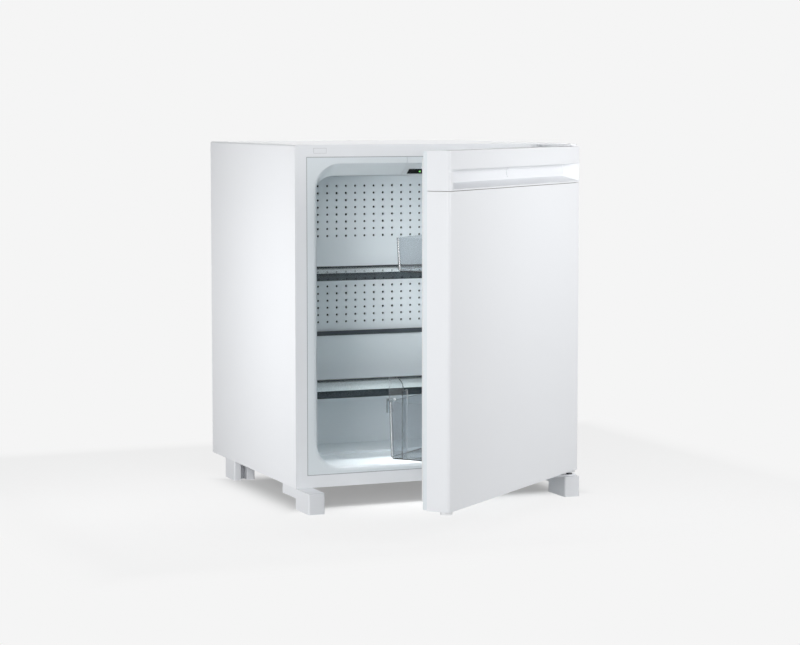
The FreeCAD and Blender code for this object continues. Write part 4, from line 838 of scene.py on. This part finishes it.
@dataclass
class Fasteners(Assembly):
    """Screws with domed heads and cross recesses."""

    head_radius: float = 3.8 * MM
    head_height: float = 2.0 * MM
    shank_radius: float = 2.0 * MM
    dome: tuple[tuple[float, float], ...] = (
        (1.0, 0.0), (1.0, 0.35), (0.92, 0.66), (0.72, 0.88), (0.4, 0.98), (0.0, 1.0))
    slot_width: float = 1.0 * MM
    slot_length: float = 4.2 * MM
    slot_depth: float = 1.2 * MM
    slot_taper: tuple[float, float] = (0.55, 1.6)
    hinge_shank: float = 10 * MM
    foot_shank: float = 18 * MM
    bracket_sheet: float = 2.5 * MM
    bracket_places: tuple[tuple[float, float], ...] = ((0.212, 0.0445), (0.232, 0.0445))
    upper_place: Place = (0.1998, -0.145, 0.5835)
    foot_places: tuple[tuple[float, float], ...] = (
        (-0.229, -0.12), (0.229, -0.12), (-0.212, 0.196), (0.212, 0.196))
    foot_seat: float = 24 * MM
    repeater: Repeater = field(default_factory=lambda: Repeater("screw_places"))

    def screw(self, length: float) -> bpy.types.Object:
        """One screw whose head's underside lies at the origin and looks along Z.

        Args:
            length: Length of the shank.

        Returns:
            The screw.
        """
        radius = self.shank_radius
        profile = [(0.0, -length), (radius * 0.5, -length), (radius, -length + radius * 0.6),
                   (radius, 0.0)]
        profile += [(self.head_radius * out, self.head_height * up) for out, up in self.dome]
        made = Workshop.piece("screw_pattern", *Workshop.lathe(profile), ZINC)
        for name, turned in (("first", 0.0), ("second", math.pi / 2)):
            cutter = self.cutter(f"{name}_cutter", turned)
            cut = made.modifiers.new(name, "BOOLEAN")
            cut.operation = "DIFFERENCE"
            cut.object = cutter
            graph = bpy.context.evaluated_depsgraph_get()
            mesh = bpy.data.meshes.new_from_object(made.evaluated_get(graph))
            made.modifiers.remove(cut)
            made.data = mesh
            bpy.data.objects.remove(cutter)
        Workshop.smooth(made)
        return made

    def cutter(self, name: str, turned: float) -> bpy.types.Object:
        """One arm of the cross recess."""
        half_l, half_w = self.slot_length / 2, self.slot_width / 2
        levels = (self.head_height - self.slot_depth, self.head_height * 2)
        points = [
            (x * factor, y * factor, z)
            for z, factor in zip(levels, self.slot_taper)
            for x, y in ((-half_l, -half_w), (half_l, -half_w), (half_l, half_w),
                         (-half_l, half_w))
        ]
        faces = [(3, 2, 1, 0), (4, 5, 6, 7), (0, 1, 5, 4), (1, 2, 6, 5), (2, 3, 7, 6),
                 (3, 0, 4, 7)]
        return Workshop.piece(name, points, faces, ZINC, Matrix.Rotation(turned, 4, "Z"))

    def build(self) -> None:
        """Set the hinge screws and the foot screws."""
        face = FRAME.front - self.bracket_sheet
        hinge_spots = [((x, face, z), (0.0, -1.0, 0.0)) for x, z in self.bracket_places]
        hinge_spots.append((self.upper_place, (0.0, 0.0, 1.0)))
        hinge = self.repeater.spread("hinge_screw_set", self.screw(self.hinge_shank),
                                     hinge_spots, ZINC)
        self.keep(hinge, Body.CABINET, "galvanised_steel", "hinge_screws")
        foot_spots = [((x, y, self.foot_seat), (0.0, 0.0, -1.0)) for x, y in self.foot_places]
        feet = self.repeater.spread("foot_screw_set", self.screw(self.foot_shank), foot_spots,
                                    ZINC)
        self.keep(feet, Body.CABINET, "galvanised_steel", "foot_screws")


@dataclass
class CoolingUnit(Assembly):
    """Stamped fins and tube saddles of the unit on the back."""

    fin_half: float = 34 * MM
    fin_thickness: float = 0.8 * MM
    fin_pitch: float = 14 * MM
    fin_count: int = 13
    fin_left: float = -145 * MM
    fin_corner: float = 1.33
    fin_steps: int = 32
    fin_collar: float = 1 * MM
    fin_collar_height: float = 4 * MM
    pipe_radius: float = 11.05 * MM
    axis_y: float = 200.8 * MM
    axis_z: float = 526 * MM
    coil_y: float = 175.85 * MM
    coil_radius: float = 9 * MM
    saddle_play: float = 0.1 * MM
    saddle_sheet: float = 1.2 * MM
    saddle_half_width: float = 5 * MM
    saddle_foot: float = 17 * MM
    saddle_steps: int = 10
    coil_levels: tuple[float, ...] = (184 * MM, 244 * MM, 304 * MM, 364 * MM)
    strap_places: tuple[float, ...] = (-150 * MM, 20.5 * MM)
    repeater: Repeater = field(default_factory=lambda: Repeater("unit_places"))

    def fin(self) -> bpy.types.Object:
        """One stamped fin with a collar round the pipe, lying in the plane of X and Y."""
        angles = [2 * math.pi * (step + 0.5) / self.fin_steps for step in range(self.fin_steps)]
        outer: list[tuple[float, float]] = []
        for angle in angles:
            x, y = polar(1.0, angle)
            reach = min(self.fin_half / max(abs(x), abs(y)), self.fin_half * self.fin_corner)
            outer.append((x * reach, y * reach))
        bore, sheet, rim = self.pipe_radius, self.fin_thickness, self.fin_collar_height
        collar = bore + self.fin_collar
        rings = [(None, 0.0), (None, sheet), (collar, sheet), (collar, rim), (bore, rim),
                 (bore, 0.0)]
        points: list[Place] = []
        for radius, height in rings:
            ring = [polar(radius, angle) for angle in angles] if radius else outer
            points += [(x, y, height) for x, y in ring]
        faces = Workshop.net(len(rings), self.fin_steps)
        return Workshop.piece("fin_pattern", points, faces, BLACK)

    def saddle(self) -> bpy.types.Object:
        """One saddle that holds a tube to its strap, the tube along X and the strap below."""
        inner = self.coil_radius + self.saddle_play
        outer = inner + self.saddle_sheet
        half_width, foot = self.saddle_half_width, self.saddle_foot
        low = -self.coil_radius
        high = low + self.saddle_sheet
        angles = [math.pi * step / self.saddle_steps for step in range(self.saddle_steps + 1)]
        section = [(-foot, low), (-foot, high), (-outer, high)]
        section += [polar(outer, math.pi - angle) for angle in angles]
        section += [(outer, high), (foot, high), (foot, low), (inner, low)]
        section += [polar(inner, angle) for angle in angles]
        section.append((-inner, low))
        count = len(section)
        points = [(x, a, b) for x in (-half_width, half_width) for a, b in section]
        faces = Workshop.net(2, count, closed=False)
        faces += [tuple(range(count)), tuple(range(2 * count - 1, count - 1, -1))]
        made = Workshop.piece("saddle_pattern", points, faces, ZINC)
        with edited(made.data) as work:
            bmesh.ops.triangulate(work, faces=[f for f in work.faces if len(f.verts) > 4])
        return made

    def build(self) -> None:
        """Set fins along the pipe and a saddle at each crossing of coil and strap."""
        fin_spots = [
            ((self.fin_left + self.fin_pitch * index, self.axis_y, self.axis_z), (1.0, 0.0, 0.0))
            for index in range(self.fin_count)
        ]
        fins = self.repeater.spread("stamped_fins", self.fin(), fin_spots, BLACK)
        self.keep(fins, Body.CABINET, "black_steel", "condenser_fins")
        spots = [
            ((x, self.coil_y, z), (0.0, 1.0, 0.0))
            for x in self.strap_places for z in self.coil_levels
        ]
        saddles = self.repeater.spread("coil_saddles", self.saddle(), spots, ZINC)
        self.keep(saddles, Body.CABINET, "galvanised_steel")


@dataclass
class DoorGasket(Assembly):
    """The magnetic profile round the inside of the door."""

    inset: float = 12 * MM
    inset_ends: float = 9 * MM
    width: float = 14 * MM
    height: float = 7.7 * MM
    side: tuple[tuple[float, float], ...] = (
        (1.0, 0.0), (1.0, 0.2), (0.66, 0.28), (0.8, 0.38), (0.56, 0.48), (0.8, 0.58),
        (0.72, 0.66), (0.74, 0.93), (0.66, 1.0))

    def build(self) -> None:
        """Run the bellows profile round the door."""
        half = self.width / 2
        right = [(half * across, self.height * up) for across, up in self.side]
        profile = right + [(-across, up) for across, up in reversed(right)]
        points, faces = Workshop.mitred_ring(
            profile,
            FRAME.half - self.inset - half,
            FRAME.door_low + self.inset_ends + half,
            FRAME.door_high - self.inset_ends - half,
            FRAME.door_back,
        )
        made = Workshop.piece("gasket_bellows", points, faces, RUBBER, FRAME.door_turn())
        Workshop.smooth(made, 50.0)
        self.keep(made, Body.DOOR, "gasket_rubber", "door_gasket")


@dataclass
class CabinetFront(Assembly):
    """Fine lines of painted shadow: one where the liner's frame meets the sheet, one round the
    slot.
    """

    half_width: float = 222.7 * MM
    low: float = 54.5 * MM
    high: float = 572 * MM
    shadow_width: float = 0.55 * MM
    proud: float = 0.2 * MM
    sunk: float = 0.1 * MM

    def build(self) -> None:
        """Run the painted shadow line round the liner's frame."""
        edge = self.shadow_width
        profile = [(-edge, 0.0), (-edge / 2, -self.proud), (edge / 2, -self.proud),
                   (edge, 0.0), (edge, self.sunk), (-edge, self.sunk)]
        points, faces = Workshop.mitred_ring(profile, self.half_width, self.low, self.high,
                                             FRAME.front)
        # A thin dark strip, barely proud, that paints the shadow of the gap between liner and
        # sheet.
        made = Workshop.piece("liner_seam_bead", points, faces, SEAM)
        self.keep(made, Body.CABINET, "liner_white")
        self.slot_line()

    def slot_line(self) -> None:
        """Run a thin grey line of painted shadow round the cover of the unused hinge slot."""
        least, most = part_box("hinge_slot_cover")
        half = (most[0] - least[0]) / 2
        points, faces = Workshop.mitred_ring(
            [(0.0, 0.0), (0.0, -self.proud), (self.shadow_width, -self.proud), (self.shadow_width, 0.0)],
            half, least[2], most[2], FRAME.front)
        shift = Matrix.Translation(((most[0] + least[0]) / 2, 0, 0))
        made = Workshop.piece("slot_cover_line", points, faces, SLOT, shift)
        self.keep(made, Body.CABINET, "liner_white")


class Nodes:
    """The frame's own nodes and their finishes."""

    def dress(self) -> None:
        """Give every node its finish."""
        for finish, names in NODE_FINISHES.items():
            made = finish.material()
            for name in names:
                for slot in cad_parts[name].material_slots:
                    slot.material = made
                LOG.info("%s dressed as %s", name, finish.name)
        missing = set(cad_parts) - {n for names in NODE_FINISHES.values() for n in names}
        if missing:
            raise RuntimeError(f"no finish for {sorted(missing)}")


@dataclass(frozen=True)
class Lamp:
    """One soft square lamp: its place, target, side in metres, watts and spread in degrees."""

    name: str
    place: Place
    target: Place
    size: float
    power: float
    spread: float = 180
    mirrored: bool = True

    def hang(self) -> None:
        """Put the lamp into the scene, unseen by the camera."""
        data = bpy.data.lights.new(self.name, "AREA")
        data.size = self.size
        data.energy = self.power
        data.spread = math.radians(self.spread)
        made = add_object(self.name, data)
        made.location = self.place
        aim = Vector(self.target) - Vector(self.place)
        made.rotation_euler = aim.to_track_quat("-Z", "Y").to_euler()
        made.visible_camera = False
        made.visible_transmission = False
        made.visible_glossy = self.mirrored


LAMPS: tuple[Lamp, ...] = (
    Lamp("side_lamp", (-0.74, -0.06, 0.36), (-0.24, -0.06, 0.36), 0.3, 1.45),
    Lamp("left_lamp", (-1.9, -2.0, 0.7), (-0.2, -0.2, 0.3), 1.2, 30.0),
    Lamp("front_lamp", (-0.6, -2.6, 0.9), (0.0, -0.16, 0.3), 1.0, 7.0),
    Lamp("door_lamp", (0.57, -0.74, 0.62), (0.19, -0.26, 0.48), 0.35, 2.15),
    Lamp("right_lamp", (2.0, -1.5, 0.9), (0.1, -0.3, 0.3), 1.2, 12.0),
    Lamp("top_lamp", (0.0, 0.0, 1.9), (0.0, 0.0, 0.6), 1.2, 3.0),
    Lamp("ceiling_lamp", (0.02, -0.10, 0.50), (0.08, 0.14, 0.34), 0.15, 0.12, spread=120,
         mirrored=False),
    Lamp("shelf_lamp", (0.05, -0.045, 0.35), (0.10, 0.2, 0.28), 0.06, 0.032, spread=110,
         mirrored=False),
    Lamp("tray_lamp", (-0.02, -0.135, 0.50), (-0.02, -0.08, 0.06), 0.1, 0.34, spread=60,
         mirrored=False),
    Lamp("back_lamp", (0.9, 2.2, 0.5), (0.0, 0.28, 0.3), 1.2, 8.0),
)


@dataclass
class Studio:
    """Camera, floor and lights."""

    camera_place: Place = (-1.5086, -3.6597, 0.6505)
    camera_pitch: float = 84.704
    camera_turn: float = -22.484
    lens: float = 103.98
    sensor: float = 36
    backdrop: float = 0.913
    ambient: float = 0.18
    sky: Colour = (0.97, 0.985, 1.0)
    floor_size: float = 9.0
    shadow_reach: tuple[float, float] = (-0.03, 0.055)
    shadow_share: tuple[float, float] = (0.33, 0.87)
    fade_reach: tuple[float, float] = (0.05, 0.5)
    bounce: float = 0.7
    # Floor colour seen straight, under the outline and outside it: painted shade under the
    # cabinet, painted light above white beyond.
    shadow_light: tuple[float, float] = (0.42, 1.1)

    def camera(self) -> None:
        """Set the camera as the photograph has it."""
        data = bpy.data.cameras.new("camera")
        data.lens = self.lens
        data.sensor_width = self.sensor
        made = add_object("camera", data)
        made.location = self.camera_place
        made.rotation_euler = (math.radians(self.camera_pitch), 0,
                               math.radians(self.camera_turn))
        bpy.context.scene.camera = made

    def direct_view(self, graph: Graph) -> bpy.types.NodeSocket:
        """1 for rays that show the backdrop itself, straight or in gloss and glass."""
        rays = graph.add("ShaderNodeLightPath")
        seen = graph.maths("MAXIMUM", rays.outputs["Is Camera Ray"],
                           rays.outputs["Is Glossy Ray"])
        return graph.maths("MAXIMUM", seen, rays.outputs["Is Transmission Ray"])

    def world(self) -> None:
        """A plain pale surrounding that lights evenly."""
        world = bpy.data.worlds.new("surroundings")
        bpy.context.scene.world = world
        world.use_nodes = True
        graph = Graph(world.node_tree)
        seen = graph.add("ShaderNodeBackground", Color=grey(self.backdrop))
        light = graph.add("ShaderNodeBackground", Color=rgba(self.sky), Strength=self.ambient)
        mixed = graph.mix(self.direct_view(graph), light, seen)
        graph.add("ShaderNodeOutputWorld", Surface=mixed)

    def footprint_distance(self, graph: Graph) -> bpy.types.NodeSocket:
        """How far a place on the floor lies outside the cabinet's outline, in metres.

        Args:
            graph: The graph to write into.

        Returns:
            The distance's socket, below zero under the cabinet.
        """
        place = graph.add("ShaderNodeTexCoord").outputs["Object"]
        parts = graph.add("ShaderNodeSeparateXYZ", Vector=place)
        middle = (FRAME.front + FRAME.unit_front) / 2
        across = graph.maths("ABSOLUTE", parts.outputs["X"])
        along = graph.maths("ABSOLUTE", graph.maths("SUBTRACT", parts.outputs["Y"], middle))
        over_x = graph.maths("SUBTRACT", across, FRAME.half)
        over_y = graph.maths("SUBTRACT", along, FRAME.unit_front - middle)
        return graph.maths("MAXIMUM", over_x, over_y)

    def floor(self) -> None:
        """A pale floor that fades into the backdrop, keeps the lamps' shadow near the feet and
        has painted shade that darkens it towards and under the cabinet's outline.
        """
        half = self.floor_size / 2
        points = [(-half, -half, 0), (half, -half, 0), (half, half, 0), (-half, half, 0)]
        made = Workshop.piece("floor", points, [(0, 1, 2, 3)], PAINT)
        made.data.materials.clear()
        material = bpy.data.materials.new("floor_surface")
        material.use_nodes = True
        graph = Graph(material.node_tree)
        distance = self.footprint_distance(graph)
        near = graph.remap(distance, self.shadow_reach, self.shadow_share)
        far = graph.remap(distance, self.fade_reach)
        seen = self.direct_view(graph)
        share = graph.maths("MULTIPLY", graph.maths("MAXIMUM", near, far), seen)
        # Painted shade: seen straight, the floor's colour darkens towards and under the
        # cabinet's outline.
        light = graph.remap(distance, self.shadow_reach, self.shadow_light)
        tone = graph.blend(seen, grey(self.bounce), light)
        diffuse = graph.add("ShaderNodeBsdfDiffuse", Color=tone)
        shown = graph.add("ShaderNodeEmission", Color=grey(self.backdrop))
        graph.add("ShaderNodeOutputMaterial", Surface=graph.mix(share, diffuse, shown))
        made.data.materials.append(material)

    def build(self) -> None:
        """Set up everything around the object."""
        self.camera()
        self.world()
        self.floor()
        for lamp in LAMPS:
            lamp.hang()
        bpy.context.scene.view_settings.view_transform = "Standard"


def corners(box: Sequence[Vector]) -> list[list[float]]:
    """A box as plain lists of numbers."""
    return [list(corner) for corner in box]


def main() -> None:
    """Build every assembly in order."""
    logging.basicConfig(level=logging.INFO, format="%(message)s")
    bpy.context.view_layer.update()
    Nodes().dress()
    for assembly in (CabinetFront(), DoorGasket(), Fasteners(), CoolingUnit()):
        assembly.build()
        assembly.report()
    Studio().build()


if __name__ == "__main__":
    main()
